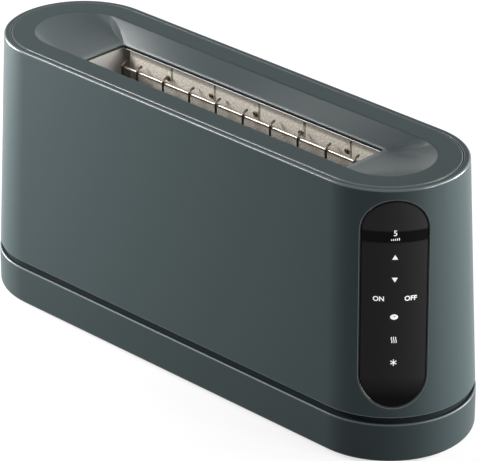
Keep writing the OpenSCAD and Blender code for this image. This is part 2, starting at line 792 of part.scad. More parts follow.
module motor_bracket() {
    foot_y1 = end_half_w - 1;
    side_y1 = gear_y + motor_r + 3;
    color([0.7, 0.69, 0.66])
    difference() {
        union() {
            box([-end_x - bracket_t, bracket_y0, bracket_z0 - 10], [-end_x, foot_y1, bracket_z0]);
            box([-motor_x - bracket_t, bracket_y0, bracket_z0 - bracket_t], [-end_x, foot_y1, bracket_z0]);
            box([-motor_x - bracket_t, bracket_y0 - 5, bracket_z0 - bracket_t],
                [-motor_x, side_y1, motor_z + motor_r]);
        }
        bar_x(4, -motor_x - bracket_t - past, -motor_x + past, gear_y, motor_z);
        for (dy = [-1, 1])
            bar_x(1.2, -motor_x - bracket_t - past, -motor_x + past, gear_y + dy * 8, motor_z);
        for (y = motor_foot_y)
            bar_x(1.2, -end_x - bracket_t - past, -end_x + past, y, bracket_z0 - 5);
    }
}

module motor_pinion() {
    color([0.78, 0.66, 0.4])
    difference() {
        gear(motor_pinion_teeth, -gear_in - gear_w - 0.4, -gear_in + 0.4, gear_y, motor_z,
            90 + 180 / motor_pinion_teeth);
        bar_x(shaft_r, -gear_in - gear_w - past, -gear_in + past, gear_y, motor_z);
    }
}

module motor_shaft() {
    color([0.8, 0.8, 0.8]) bar_x(shaft_r, -motor_x - bracket_t - 10, -gear_in + 0.4, gear_y, motor_z);
}

module lift_gear() {
    color([0.86, 0.86, 0.84])
    difference() {
        union() {
            gear(pinion_teeth, -rack_in - rack_w - 0.4, -rack_in + 0.4, gear_y, mesh_z,
                180 + 180 / pinion_teeth);
            gear(gear_teeth, -gear_in - gear_w, -gear_in, gear_y, mesh_z, -90);
            bar_x(4.6, -gear_in - 0.1, -end_x - gap, gear_y, mesh_z);
        }
        bar_x(axle_r + run_gap, -gear_in - gear_w - past, -end_x, gear_y, mesh_z);
    }
}

module gear_axle() {
    color([0.8, 0.8, 0.8]) bar_x(axle_r, -gear_in - gear_w - 2, -chamber_x, gear_y, mesh_z);
}

module axle_clip() {
    color([0.3, 0.3, 0.32])
    difference() {
        bar_x(axle_r + 2, -gear_in - gear_w - 1.1, -gear_in - gear_w - gap, gear_y, mesh_z);
        bar_x(axle_r, -gear_in - gear_w - 2, -gear_in - gear_w, gear_y, mesh_z);
    }
}

// Limit switch on the left end plate with its plunger toward the carriage, its middle at height z
module limit_switch(z) {
    near_y = -block_w / 2 - 2.4;
    color([0.13, 0.13, 0.14]) {
        box([-end_x - 6, near_y - 10, z - 8], [-end_x, near_y, z + 8]);
        bar_y(1.2, near_y - 0.1, near_y + 1.8, -end_x - 3.8, z);
    }
}

module upper_limit_switch() {
    limit_switch((block_z0 + block_z1) / 2);
}

module lower_limit_switch() {
    limit_switch((block_z0 + block_z1) / 2 + 10 - lift_travel);
}

module touch_glass() {
    color([0.02, 0.02, 0.025])
    intersection() {
        shell_layer(gap, glass_in);
        panel_prism(0);
    }
}

module panel_bezel() {
    color([0.5, 0.51, 0.51])
    difference() {
        intersection() {
            shell_layer(0.1, glass_in);
            panel_prism(bezel_w + 0.02);
        }
        panel_prism(0.02);
    }
}

module panel_carrier() {
    post_r = 3;
    color([0.1, 0.1, 0.11])
    difference() {
        union() {
            intersection() {
                shell_layer(glass_in, glass_in + carrier_t);
                panel_prism(4);
            }
            difference() {
                intersection() {
                    shell_layer(shell_wall, glass_in + 0.2);
                    panel_prism(4);
                }
                panel_prism(bezel_w + 2 * gap);
            }
            for (z = carrier_post_z)
                intersection() {
                    at_panel(z) bar_x(post_r, board_reach, shell_foot_l, 0, 0);
                    loft([shell_at(shell_z0, glass_in + 0.3), shell_at(shell_z1, glass_in + 0.3)]);
                }
        }
        at_panel(display_z) box([0, -7, -10], [shell_foot_l, 7, 10]);
    }
}

module touch_board() {
    color([0.08, 0.25, 0.14])
    at_panel(panel_z0 + panel_h / 2)
        box([board_reach - touch_t, -touch_w / 2, -touch_h / 2], [board_reach, touch_w / 2, touch_h / 2]);
}

module level_display() {
    color([0.05, 0.05, 0.05])
    at_panel(display_z)
        box([board_reach, -6, -9], [board_reach + 6, 6, 9]);
}

module board_holder() {
    color([0.13, 0.13, 0.14])
    difference() {
        box([holder_x0, power_y - 4, floor_z], [holder_x0 + holder_l, power_y + power_t + 4, floor_z + 10]);
        box([holder_x0 - past, power_y - 0.05, floor_z + 4],
            [holder_x0 + holder_l + past, power_y + power_t + 0.05, floor_z + 10 + past]);
    }
}

module power_board() {
    color([0.08, 0.25, 0.14])
    box([holder_x0 + 1, power_y, floor_z + 4], [holder_x0 + holder_l - 1, power_y + power_t, power_z1]);
}

module power_relay() {
    color([0.12, 0.2, 0.38])
    box([holder_x0 + 4, power_y + power_t, floor_z + 62],
        [holder_x0 + 24, power_y + power_t + 14, floor_z + 80]);
}

module power_transformer() {
    color([0.78, 0.72, 0.3]) {
        box([holder_x0 + 4, power_y + power_t, floor_z + 30],
            [holder_x0 + 24, power_y + power_t + 16, floor_z + 52]);
        box([holder_x0 + 8, power_y + power_t + 2, floor_z + 26],
            [holder_x0 + 20, power_y + power_t + 14, floor_z + 56]);
    }
}

module filter_capacitor() {
    color([0.2, 0.22, 0.3])
    bar_y(5, power_y + power_t, power_y + power_t + 14, holder_x0 + 29, floor_z + 60);
}

module terminal_block() {
    block_x0 = holder_x0 + 2;
    color([0.85, 0.84, 0.8])
    difference() {
        box([block_x0, power_y + 8, floor_z], [block_x0 + 16, power_y + 18, floor_z + 12]);
        for (x = [4, 12])
            bar_z(1.8, floor_z + 4, floor_z + 12 + past, block_x0 + x, power_y + 13);
    }
}

module cord_gland() {
    color([0.07, 0.07, 0.07])
    difference() {
        union() {
            bar_y(gland_r, base_r - base_wall - 0.1, base_r, gland_x, gland_z);
            bar_y(gland_r + 2.5, base_r - base_wall - 3, base_r - base_wall, gland_x, gland_z);
        }
        bar_y(gland_bore, base_r - base_wall - 3 - past, base_r + past, gland_x, gland_z);
    }
}

module thermal_fuse() {
    fuse_z = card_z1 - 40;
    fuse_y = reflector_y + reflector_t;
    color([0.8, 0.79, 0.74]) {
        bar_x(2, 60, 74, fuse_y + 2, fuse_z);
        box([64, fuse_y, fuse_z - 3], [70, fuse_y + 4.6, fuse_z + 3]);
    }
}

module frame_screws() {
    color([0.75, 0.75, 0.75])
    for (side = [0, 1], sy = [-1, 1], z = frame_screw_z)
        mirror([side, 0, 0]) translate([end_x + 1.4, sy * frame_screw_y, z]) rotate([0, 90, 0])
            screw(2.6, 1.4, 1.5, sheet + 3);
}

module base_screws() {
    head_h = 1.4;
    color([0.6, 0.6, 0.6])
    for (sx = [-1, 1], sy = [-1, 1])
        translate([sx * base_screw_x, sy * base_screw_y, plate_z0 - head_h]) mirror([0, 0, 1])
            screw(3.2, head_h, 1.7, plate_t + 5);
}

module motor_screws() {
    color([0.75, 0.75, 0.75]) {
        for (dy = [-1, 1])
            translate([-motor_x + 1.2, gear_y + dy * 8, motor_z]) rotate([0, 90, 0])
                screw(2, 1.2, 1.2, bracket_t + 4);
        for (y = motor_foot_y)
            translate([-end_x - bracket_t - 1.2, y, bracket_z0 - 5]) rotate([0, -90, 0])
                screw(2, 1.2, 1.2, bracket_t + sheet);
    }
}

module cover_screws() {
    color([0.75, 0.75, 0.75])
    for (sx = [-1, 1], sy = [-1, 1])
        translate([sx * cover_screw_x, sy * cover_screw_y, top_tab_z - 1.4]) mirror([0, 0, 1])
            screw(2.8, 1.4, 1.5, sheet + 3);
}

body_shell();
top_cover();
base_ring();
base_plate();
rubber_feet();
crumb_tray();
tray_front();
left_end_plate();
right_end_plate();
front_reflector();
rear_reflector();
front_heater_card();
rear_heater_card();
front_heater_ribbon();
rear_heater_ribbon();
front_card_clips();
rear_card_clips();
front_bread_guard();
rear_bread_guard();
bread_shelf();
left_carriage();
right_carriage();
lift_rack();
guard_cam();
left_guide_rod();
right_guide_rod();
left_slide_bush();
right_slide_bush();
shelf_screws();
lift_motor();
motor_bracket();
motor_pinion();
motor_shaft();
lift_gear();
gear_axle();
axle_clip();
upper_limit_switch();
lower_limit_switch();
touch_glass();
panel_bezel();
panel_carrier();
touch_board();
level_display();
board_holder();
power_board();
power_relay();
power_transformer();
filter_capacitor();
terminal_block();
cord_gland();
thermal_fuse();
frame_screws();
base_screws();
motor_screws();
cover_screws();
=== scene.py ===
# %% [markdown]
# # A long slot toaster
# The object is a toaster with one long slot, a sheet-metal body with round ends, and a black touch glass on
# one end. Its construction already exists as CAD solids, and this script dresses them: visible shells are
# modelled again with soft edges, and the inner pieces keep their CAD shape and get a finish. Everything
# stays in the CAD frame, in metres, and main sizes are read from it.

from math import atan2, cos, hypot, pi, radians, sin, sqrt

import bmesh
import bpy
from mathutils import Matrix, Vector


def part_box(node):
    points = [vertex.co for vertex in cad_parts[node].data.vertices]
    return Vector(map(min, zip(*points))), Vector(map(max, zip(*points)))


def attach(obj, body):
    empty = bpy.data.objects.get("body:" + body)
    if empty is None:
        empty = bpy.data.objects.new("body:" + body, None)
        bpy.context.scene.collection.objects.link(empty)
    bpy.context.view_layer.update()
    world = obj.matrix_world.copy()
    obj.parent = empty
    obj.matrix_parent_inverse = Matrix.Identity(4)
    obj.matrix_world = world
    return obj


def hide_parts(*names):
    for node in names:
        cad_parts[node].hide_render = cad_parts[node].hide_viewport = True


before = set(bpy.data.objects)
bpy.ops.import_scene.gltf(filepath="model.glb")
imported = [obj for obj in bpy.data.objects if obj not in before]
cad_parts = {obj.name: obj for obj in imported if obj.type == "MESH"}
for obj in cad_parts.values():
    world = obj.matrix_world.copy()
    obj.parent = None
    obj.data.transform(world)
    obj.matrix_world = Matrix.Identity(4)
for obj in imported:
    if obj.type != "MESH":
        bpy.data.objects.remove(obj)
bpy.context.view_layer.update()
MM = 0.001

# %% [markdown]
# ## Camera
# The photograph was taken from the front right corner, a little above the toaster, with a long lens: the
# long edges hardly converge. A camera can be placed by eye, but matching measured edges is surer. Place,
# target and focal length come from such a fit, so the body's outline falls where it does in the photograph.

# %% Camera
def put_in_scene(name, data):
    """Object for a camera, lamp, mesh or curve, linked to the scene."""
    thing = bpy.data.objects.new(name, data)
    bpy.context.scene.collection.objects.link(thing)
    return thing


def stand(name, data, place, aim):
    """Camera or lamp at a place, turned toward its aim."""
    thing = put_in_scene(name, data)
    thing.location = place
    thing.rotation_euler = (Vector(aim) - Vector(place)).to_track_quat("-Z", "Y").to_euler()
    return thing


camera_data = bpy.data.cameras.new("camera")
camera_data.sensor_width = 36
camera_data.lens = 263.3
camera_data.clip_end = 50
camera_place = Vector((1.460505, -1.474908, 1.123759))
camera_aim = Vector((0.008411, 0.000691, 0.090664))
bpy.context.scene.camera = stand("camera", camera_data, camera_place, camera_aim)
bpy.context.scene.view_settings.view_transform = "Standard"
print("camera distance in m:", round((camera_aim - camera_place).length, 3))

# %% [markdown]
# ## Lamps
# Satin paint shows its form through broad, soft gradients, which one small lamp can't give. A low box on the
# left makes the left end bright, boxes behind and on the right do the same for the right end, and the
# quarter that faces the camera stays dark. A strip above the front lights the long side and draws the light
# line along the rim. The two weakest lamps serve one place: the slope behind the slot mirrors them.

# %% Lamps
def soft_box(name, place, aim, size, power):
    """Rectangular lamp with its power in watts."""
    lamp = bpy.data.lights.new(name, "AREA")
    lamp.shape = "RECTANGLE"
    lamp.size, lamp.size_y = size
    lamp.energy = power
    stand(name, lamp, place, aim)


soft_box("left box", (-0.75, -0.22, 0.15), (-0.15, 0, 0.1), (0.3, 0.25), 11)
soft_box("front strip", (-0.43, -0.48, 0.52), (-0.05, 0, 0.15), (0.35, 0.08), 3.9)
soft_box("slope lamp", (-0.55, -0.15, 0.62), (-0.13, 0.02, 0.18), (0.03, 0.03), 0.33)
soft_box("slope strip", (-0.33, -0.132, 0.65), (0.06, 0.026, 0.185), (0.03, 0.12), 0.08)
soft_box("back box", (0.76, 1.04, 0.28), (0, 0, 0.1), (0.45, 0.45), 25)
soft_box("high right box", (1.0, 0.7, 0.65), (0, 0, 0.1), (0.45, 0.45), 8)
soft_box("right box", (1.2, 0.25, 0.45), (0.15, 0, 0.12), (0.3, 0.8), 6)

# %% [markdown]
# ## White surroundings
# The photograph's background is plain white. More light would bleach the toaster as well, so the world has
# two strengths: it lights the paint dimly, and camera, glossy and transmission rays see it at full white.
# The Light Path node tells these rays apart, and a Mix Shader picks the strength.

# %% White surroundings
def seen_directly(nodes, links):
    """Factor that is 1 for camera, glossy and transmission rays."""
    path = nodes.new("ShaderNodeLightPath")
    total = path.outputs["Is Camera Ray"]
    for ray in ("Is Glossy Ray", "Is Transmission Ray"):
        either = nodes.new("ShaderNodeMath")
        either.operation = "MAXIMUM"
        links.new(total, either.inputs[0])
        links.new(path.outputs[ray], either.inputs[1])
        total = either.outputs[0]
    return total


world = bpy.data.worlds.new("studio")
bpy.context.scene.world = world
world.use_nodes = True
nodes, links = world.node_tree.nodes, world.node_tree.links
room = nodes["Background"]
room.inputs["Color"].default_value = (0.92, 0.96, 1.0, 1)
room.inputs["Strength"].default_value = 0.05
white = nodes.new("ShaderNodeBackground")
white.inputs["Color"].default_value = (1, 1, 1, 1)
white.inputs["Strength"].default_value = 1
pick = nodes.new("ShaderNodeMixShader")
links.new(seen_directly(nodes, links), pick.inputs[0])
links.new(room.outputs[0], pick.inputs[1])
links.new(white.outputs[0], pick.inputs[2])
links.new(pick.outputs[0], nodes["World Output"].inputs["Surface"])
print("world strengths:", [n.inputs["Strength"].default_value for n in (room, white)])

# %% [markdown]
# ## Floor
# The floor is a pale matt plane. An emission that only the same rays see lifts it to white, and it is added
# to the floor's own shading instead of replacing it, so that the toaster's shadow still grounds it.

# %% Floor
bpy.ops.mesh.primitive_plane_add(size=30, location=(0, 0, 0))
floor = bpy.context.object
floor.name = "floor"
floor_paint = bpy.data.materials.new("pale floor")
floor_paint.use_nodes = True
nodes, links = floor_paint.node_tree.nodes, floor_paint.node_tree.links
matt = nodes["Principled BSDF"]
matt.inputs["Base Color"].default_value = (0.3, 0.3, 0.3, 1)
matt.inputs["Roughness"].default_value = 0.9
lift = nodes.new("ShaderNodeEmission")
lift.inputs["Color"].default_value = (1, 1, 1, 1)
share = nodes.new("ShaderNodeMath")
share.operation = "MULTIPLY"
share.inputs[1].default_value = 0.7
links.new(seen_directly(nodes, links), share.inputs[0])
links.new(share.outputs[0], lift.inputs["Strength"])
both = nodes.new("ShaderNodeAddShader")
links.new(matt.outputs[0], both.inputs[0])
links.new(lift.outputs[0], both.inputs[1])
links.new(both.outputs[0], nodes["Material Output"].inputs["Surface"])
floor.data.materials.append(floor_paint)
print("floor in m:", list(floor.dimensions))

# %% [markdown]
# ## Finishes
# No real surface is one flat colour. Image textures would need unwrapped pieces, so every finish here is a
# Principled shader fed by noise in object space: one noise lets the tint and the roughness drift, a finer
# one gives a bump. Sizes are in millimetres, so the grain keeps its real scale on every piece.

# %% Finishes
def finish(name, tint, grain, drift, rough, bump, metal=0.0, stretch=(1, 1, 1), shine=0.5, spread=1.0):
    """Noise-fed material: grain and bump in mm, rough from smooth to worn; a small spread gives speckles."""
    material = bpy.data.materials.new(name)
    material.use_nodes = True
    nodes, links = material.node_tree.nodes, material.node_tree.links
    shader = nodes["Principled BSDF"]
    shader.inputs["Metallic"].default_value = metal
    shader.inputs["Specular IOR Level"].default_value = shine
    place = nodes.new("ShaderNodeTexCoord")
    scale = nodes.new("ShaderNodeMapping")
    scale.inputs["Scale"].default_value = stretch
    links.new(place.outputs["Object"], scale.inputs["Vector"])

    def noise(fineness, detail):
        cloud = nodes.new("ShaderNodeTexNoise")
        cloud.inputs["Scale"].default_value = fineness / (grain * MM)
        cloud.inputs["Detail"].default_value = detail
        links.new(scale.outputs[0], cloud.inputs["Vector"])
        return cloud.outputs["Fac"]

    drifting = noise(1, 4)
    level = nodes.new("ShaderNodeMapRange")
    level.inputs["From Min"].default_value = 0.5 - spread / 2
    level.inputs["From Max"].default_value = 0.5 + spread / 2
    links.new(drifting, level.inputs["Value"])
    shade = nodes.new("ShaderNodeMix")
    shade.data_type = "RGBA"
    shade.inputs["A"].default_value = (*[c * (1 - drift) for c in tint], 1)
    shade.inputs["B"].default_value = (*[min(c * (1 + drift), 1) for c in tint], 1)
    links.new(level.outputs[0], shade.inputs["Factor"])
    links.new(shade.outputs["Result"], shader.inputs["Base Color"])
    worn = nodes.new("ShaderNodeMapRange")
    worn.inputs["To Min"].default_value, worn.inputs["To Max"].default_value = rough
    links.new(drifting, worn.inputs["Value"])
    links.new(worn.outputs[0], shader.inputs["Roughness"])
    dents = nodes.new("ShaderNodeBump")
    dents.inputs["Distance"].default_value = bump * MM
    dents.inputs["Strength"].default_value = 0.5
    links.new(noise(2.5, 2), dents.inputs["Height"])
    links.new(dents.outputs[0], shader.inputs["Normal"])
    return material


print("materials so far:", len(bpy.data.materials))

# %% [markdown]
# ## Slate paint
# Body, cover and base carry one dark grey-green satin paint. On the real object it looks different from part
# to part: it is rubbed brighter on edges and lies smoother on the drawn slopes. One material would be
# simpler, but one colour with a roughness, a shine and a tone for each part comes closer. In the groove that
# tone is
# painted shade: the colour sinks to near black where the groove lies in shadow.

# %% Slate paint
SLATE, SLATE_GRAIN = (0.061, 0.081, 0.084), 0.35


def slate(name, rough, shine, tone=1.0, drift=0.04, bump=0.003):
    """The toaster's own paint."""
    return finish(name, [tone * c for c in SLATE], SLATE_GRAIN, drift, rough, bump, shine=shine)


body_paint = slate("satin slate paint", (0.3, 0.37), 0.03)
edge_paint = slate("satin slate paint, rubbed edge", (0.24, 0.3), 0.9, bump=0.002)
slope_paint = slate("satin slate paint, drawn slope", (0.16, 0.2), 0.22)
dish_paint = slate("satin slate paint, drawn dish", (0.25, 0.31), 0.36)
base_edge_paint = slate("satin slate paint, base edge", (0.36, 0.42), 0.5, bump=0.002)
base_paint = slate("satin slate paint, base", (0.38, 0.46), 0.05, 0.8, bump=0.004)
# painted shade: the slate tone sunk to near black for the shadow in the groove
groove_shade_paint = slate("slate paint, painted groove shade", (0.5, 0.6), 0.03, 0.28, 0.06, 0.004)
print("paints:", [m.name for m in bpy.data.materials if "paint" in m.name])

# %% [markdown]
# ## Steel, wire, card, plastic and glass
# The toasting chamber is bare metal round speckled heater cards. Stretched noise gives sheet its brush lines
# and wire its drawing lines, and a narrow spread sharpens the noise into the speckles of the card, so one
# recipe serves them all.

# %% Steel, wire, card, plastic and glass
SHEET_LINES, END_LINES = (0.1, 1, 1), (1, 1, 0.1)
ROD_LINES, WIRE_LINES = (0.2, 1, 1), (1, 1, 0.2)
finishes = {
    "black_plastic": finish("moulded black plastic", (0.02, 0.02, 0.021), 0.6, 0.15, (0.45, 0.6), 0.02),
    "rubber": finish("foot rubber", (0.018, 0.018, 0.018), 0.5, 0.2, (0.7, 0.85), 0.03, shine=0.3),
    "sheet_steel": finish("chamber sheet steel", (0.36, 0.355, 0.34), 0.5, 0.1, (0.35, 0.5), 0.004, 0.8,
                          SHEET_LINES),
    "reflector": finish("bright reflector sheet", (0.75, 0.74, 0.72), 0.8, 0.06, (0.18, 0.3), 0.003, 1.0,
                        SHEET_LINES),
    "mica": finish("speckled heater card", (1.0, 0.83, 0.7), 1.0, 0.28, (0.5, 0.75), 0.02, spread=0.14),
    "ribbon": finish("heater ribbon", (0.33, 0.27, 0.23), 0.7, 0.25, (0.4, 0.55), 0.004, 1.0),
    "wire": finish("bright guard wire", (0.46, 0.425, 0.38), 0.4, 0.1, (0.3, 0.4), 0.003, 1.0, ROD_LINES),
    # a darker copy of the rods' steel: painted shade for the wires standing in the slot
    "shaded_wire": finish("heat-browned wire", (0.17, 0.14, 0.115), 0.4, 0.2, (0.25, 0.38), 0.003, 1.0,
                           WIRE_LINES),
    "bead": finish("dull sheet edge", (0.36, 0.355, 0.34), 0.4, 0.1, (0.35, 0.45), 0.003, 0.8, SHEET_LINES),
    # the end plates' steel is a lighter copy of the chamber sheet: painted light for the light falling on
    # them
    "end_steel": finish("bright end sheet", (0.86, 0.84, 0.81), 0.5, 0.1, (0.35, 0.5), 0.004, 0.3, END_LINES),
    "rivet": finish("bronze rivet", (0.14, 0.105, 0.07), 0.3, 0.2, (0.25, 0.4), 0.003, 1.0),
    "nylon": finish("white nylon", (0.62, 0.61, 0.57), 0.7, 0.06, (0.4, 0.5), 0.01),
    "brass": finish("bearing brass", (0.6, 0.44, 0.18), 0.5, 0.1, (0.25, 0.4), 0.004, 1.0),
    "screw": finish("zinc screw", (0.62, 0.62, 0.6), 0.4, 0.1, (0.28, 0.4), 0.005, 1.0),
    "black_glass": finish("back-painted black glass", (0.033, 0.033, 0.034), 3.0, 0.06, (0.05, 0.08), 0.0005,
                          shine=0.05),
    "glass_edge": finish("ground glass edge", (0.11, 0.115, 0.115), 0.4, 0.06, (0.12, 0.18), 0.001),
    "bezel": finish("polished dark bezel", (0.012, 0.014, 0.015), 0.4, 0.08, (0.14, 0.2), 0.001, shine=0.4),
    "board": finish("green circuit board", (0.02, 0.09, 0.045), 0.8, 0.2, (0.35, 0.5), 0.01),
    "component": finish("component body", (0.05, 0.06, 0.09), 0.6, 0.2, (0.35, 0.5), 0.01),
    "body_paint": body_paint,
    "base_paint": base_paint,
}
print("finishes:", len(finishes))

# %% [markdown]
# ## Soft edges
# CAD solids arrive as triangles with razor edges, and razor edges catch no light. A narrow bevel on every
# sharp edge, smooth shading below thirty degrees and weighted normals give stamped sheet and moulded plastic
# their thin highlight, and none of these three modifiers touches the mesh itself.

# %% Soft edges
def smooth_by_angle(limit=30):
    """Node group that shades faces smooth and keeps edges sharper than the limit, in degrees."""
    group = bpy.data.node_groups.new("smooth by angle", "GeometryNodeTree")
    for way in ("INPUT", "OUTPUT"):
        group.interface.new_socket("Geometry", in_out=way, socket_type="NodeSocketGeometry")
    nodes, links = group.nodes, group.links
    start, end = nodes.new("NodeGroupInput"), nodes.new("NodeGroupOutput")
    faces = nodes.new("GeometryNodeSetShadeSmooth")
    faces.domain = "FACE"
    edges = nodes.new("GeometryNodeSetShadeSmooth")
    edges.domain = "EDGE"
    edges.inputs["Shade Smooth"].default_value = False
    angle = nodes.new("GeometryNodeInputMeshEdgeAngle")
    sharp = nodes.new("FunctionNodeCompare")
    sharp.operation = "GREATER_THAN"
    sharp.inputs["B"].default_value = radians(limit)
    links.new(angle.outputs["Unsigned Angle"], sharp.inputs["A"])
    links.new(start.outputs[0], faces.inputs["Geometry"])
    links.new(faces.outputs[0], edges.inputs["Geometry"])
    links.new(sharp.outputs[0], edges.inputs["Selection"])
    links.new(edges.outputs[0], end.inputs[0])
    return group


shading = smooth_by_angle()


def soften(piece, width, segments=2):
    """Bevel of the given width in mm, or none for 0, then smooth shading with weighted normals."""
    if width:
        bevel = piece.modifiers.new("soft edges", "BEVEL")
        bevel.width = width * MM
        bevel.segments = segments
        bevel.limit_method = "ANGLE"
        bevel.angle_limit = radians(40)
    piece.modifiers.new("smooth", "NODES").node_group = shading
    piece.modifiers.new("flat faces", "WEIGHTED_NORMAL").keep_sharp = True


print("shading nodes:", len(shading.nodes))

# %% [markdown]
# ## A finish for every CAD piece
# The toaster is made of plastic, rubber, steel, card, wire and boards, and the list below sorts the CAD
# pieces by these. Each piece could get its finish in a line of its own, but one list is easier to check.
# Pieces that are modelled again further down stand in it too, so that no piece is ever left without a
# finish.

# %% A finish for every CAD piece
NODE_FINISH = {
    "rubber": ["rubber_feet"],
    "black_plastic": ["base_plate", "left_carriage", "right_carriage", "upper_limit_switch",
                      "lower_limit_switch", "panel_carrier", "board_holder", "cord_gland"],
    "end_steel": ["left_end_plate", "right_end_plate"],
    "sheet_steel": ["motor_bracket", "guard_cam", "lift_motor", "crumb_tray"],
    "reflector": ["front_reflector", "rear_reflector"],
    "mica": ["front_heater_card", "rear_heater_card", "front_card_clips", "rear_card_clips"],
    "ribbon": ["front_heater_ribbon", "rear_heater_ribbon"],
    "wire": ["front_bread_guard", "rear_bread_guard", "bread_shelf", "left_guide_rod", "right_guide_rod",
             "motor_shaft", "gear_axle", "axle_clip"],
    "nylon": ["lift_rack", "lift_gear", "terminal_block", "thermal_fuse"],
    "brass": ["left_slide_bush", "right_slide_bush", "motor_pinion"],
    "screw": ["shelf_screws", "frame_screws", "base_screws", "motor_screws", "cover_screws"],
    "board": ["touch_board", "power_board"],
    "component": ["level_display", "power_relay", "power_transformer", "filter_capacitor"],
    "base_paint": ["tray_front", "base_ring"],
    "body_paint": ["body_shell", "top_cover"],
    "black_glass": ["touch_glass"],
    "bezel": ["panel_bezel"],
}
CAD_BEVEL = 0.15
for finish_name, names in NODE_FINISH.items():
    for name in names:
        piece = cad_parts[name]
        piece.data.materials.clear()
        piece.data.materials.append(finishes[finish_name])
        soften(piece, CAD_BEVEL)
print("CAD pieces with a finish:", sum(len(n) for n in NODE_FINISH.values()), "of", len(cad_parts))

# %% [markdown]
# ## Rings and lofts
# Every big shell here is a stadium, two half circles joined by straight sides, that changes as it rises. A
# subdivided box could be rounded to something like it, but rings put every point where it belongs: each ring
# has the same number of points, and quads join one ring to the next. Points are laid closely round the ends,
# where the light turns, so no facet shows.

# %% Rings and lofts
ARC_STEPS, SIDE_STEPS = 72, 40


def long_ring(right_end, straight, half_width, z):
    """Ring from the (x, y) points of its right end, the same end turned to the left, and straight sides."""
    points = []
    for end in (1, -1):
        points += [Vector((end * x, end * y, z)) for x, y in right_end]
        for k in range(1, SIDE_STEPS):
            points.append(Vector((end * straight * (0.5 - k / SIDE_STEPS), end * half_width, z)))
    return points


def stadium(straight, radius, z):
    """Ring of points round a stadium, anticlockwise from the front corner of its right end."""
    turns = [pi * k / ARC_STEPS - pi / 2 for k in range(ARC_STEPS + 1)]
    right_end = [(straight / 2 + radius * cos(a), radius * sin(a)) for a in turns]
    return long_ring(right_end, straight, radius, z)


def loft(rings, closed=False):
    """Vertices and quads through rings of equally many points; closed joins the last ring to the first."""
    n = len(rings[0])
    count = len(rings) if closed else len(rings) - 1
    faces = []
    for i in range(count):
        a, b = i * n, (i + 1) % len(rings) * n
        faces += [(a + j, a + (j + 1) % n, b + (j + 1) % n, b + j) for j in range(n)]
    return [p for ring in rings for p in ring], faces


def quarter(radius, steps):
    """(along, up) pairs of a quarter round, from the wall to the top."""
    turns = [pi / 2 * k / steps for k in range(steps + 1)]
    return [(radius * (1 - cos(a)), radius * (sin(a) - 1)) for a in turns]


print("points in a ring:", len(stadium(1, 1, 0)))

# %% [markdown]
# ## From mesh to piece
# A mesh alone is only a shape. To become a piece of the toaster it has to ride on the right body, take the
# place of the CAD pieces that it was modelled after, and carry a finish. One helper does all of that in one
# call. Others give sheet its thickness and some faces another finish.

# %% From mesh to piece
def make(name, verts, faces, material, body, nodes=()):
    """Mesh object that rides on a body and takes the place of CAD nodes."""
    mesh = bpy.data.meshes.new(name)
    mesh.from_pydata([tuple(v) for v in verts], [], faces)
    mesh.update()
    mesh.materials.append(material)
    piece = put_in_scene(name, mesh)
    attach(piece, body)
    if nodes:
        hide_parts(*nodes)
    return piece


def thicken(piece, thickness):
    """Sheet thickness in mm, added inward."""
    sheet = piece.modifiers.new("sheet", "SOLIDIFY")
    sheet.thickness = thickness * MM
    sheet.offset = -1


def paint_faces(piece, material, chosen):
    """Another material on the faces with the chosen numbers."""
    piece.data.materials.append(material)
    for k in chosen:
        piece.data.polygons[k].material_index = len(piece.data.materials) - 1


def outline_at(node, z):
    """Straight length and end radius of a node's outline at height z, from its own points."""
    points = [v.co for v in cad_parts[node].data.vertices if abs(v.co.z - z) < 0.1 * MM]
    radius = max(p.y for p in points)
    return 2 * (max(p.x for p in points) - radius), radius


RIM_ROLL = 1.2 * MM
shell_low, shell_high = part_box("body_shell")
foot_z, top_z = shell_low.z, shell_high.z
brow_z = top_z - RIM_ROLL
foot_straight, foot_radius = outline_at("body_shell", foot_z)
brow_straight, brow_radius = outline_at("body_shell", brow_z)
print("body's radius at foot and brow in mm:", round(foot_radius / MM, 2), round(brow_radius / MM, 2))

# %% [markdown]
# ## The body's skin
# The body is a drawn sheet sleeve, wider at its foot than at its rim. Several pieces follow its surface, so
# the skin is written down once, as a rule that gives the point at any place. The touch glass faces a
# direction of its own, between front and right, and places on it are counted from the panel's upright middle
# line.

# %% The body's skin
PANEL_TURN = radians(43)
PANEL_AXIS = (brow_straight + foot_straight) / 4
PANEL_HALF, GLASS_HALF = 21.8 * MM, 20.5 * MM
panel_out = Vector((cos(PANEL_TURN), -sin(PANEL_TURN)))
panel_right = Vector((sin(PANEL_TURN), cos(PANEL_TURN)))
glass_low, glass_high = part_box("touch_glass")
GLASS_FOOT, GLASS_HEAD = glass_low.z + PANEL_HALF, glass_high.z - PANEL_HALF


def skin(z, inset=0.0):
    """Straight length and radius of the body's outside at height z."""
    f = (z - foot_z) / (brow_z - foot_z)
    straight = foot_straight + (brow_straight - foot_straight) * f
    return straight, foot_radius + (brow_radius - foot_radius) * f - inset


def on_skin(t, z, depth=0.0):
    """Point of the body's right end, t metres to the right of the panel's middle line."""
    straight, radius = skin(z, depth)
    start = Vector((PANEL_AXIS - straight / 2, 0)) + t * panel_right
    along = start.dot(panel_out)
    out = sqrt(along * along - start.length_squared + radius * radius) - along
    p = start + out * panel_out
    return Vector((p.x + straight / 2, p.y, z))


def round_window(t, z, reach):
    """Point at distance reach from the window's middle line, in the direction of (t, z)."""
    middle = min(max(z, GLASS_FOOT), GLASS_HEAD)
    away = hypot(t, z - middle)
    return t / away * reach, middle + (z - middle) / away * reach


print("window's round centres in mm:", round(GLASS_FOOT / MM, 1), round(GLASS_HEAD / MM, 1))

# %% [markdown]
# ## Body shell
# The sleeve has a hem at its foot, a rolled rim, and a pill-shaped window for the touch glass. A Boolean
# would cut that window, but it leaves ragged faces that spoil the paint's reflection. Instead the skin is a
# grid with one patch left out, and inside that patch rows close in on the window step by step. So every face
# is a clean quad, and the window's edge can roll inward and catch a line of light.

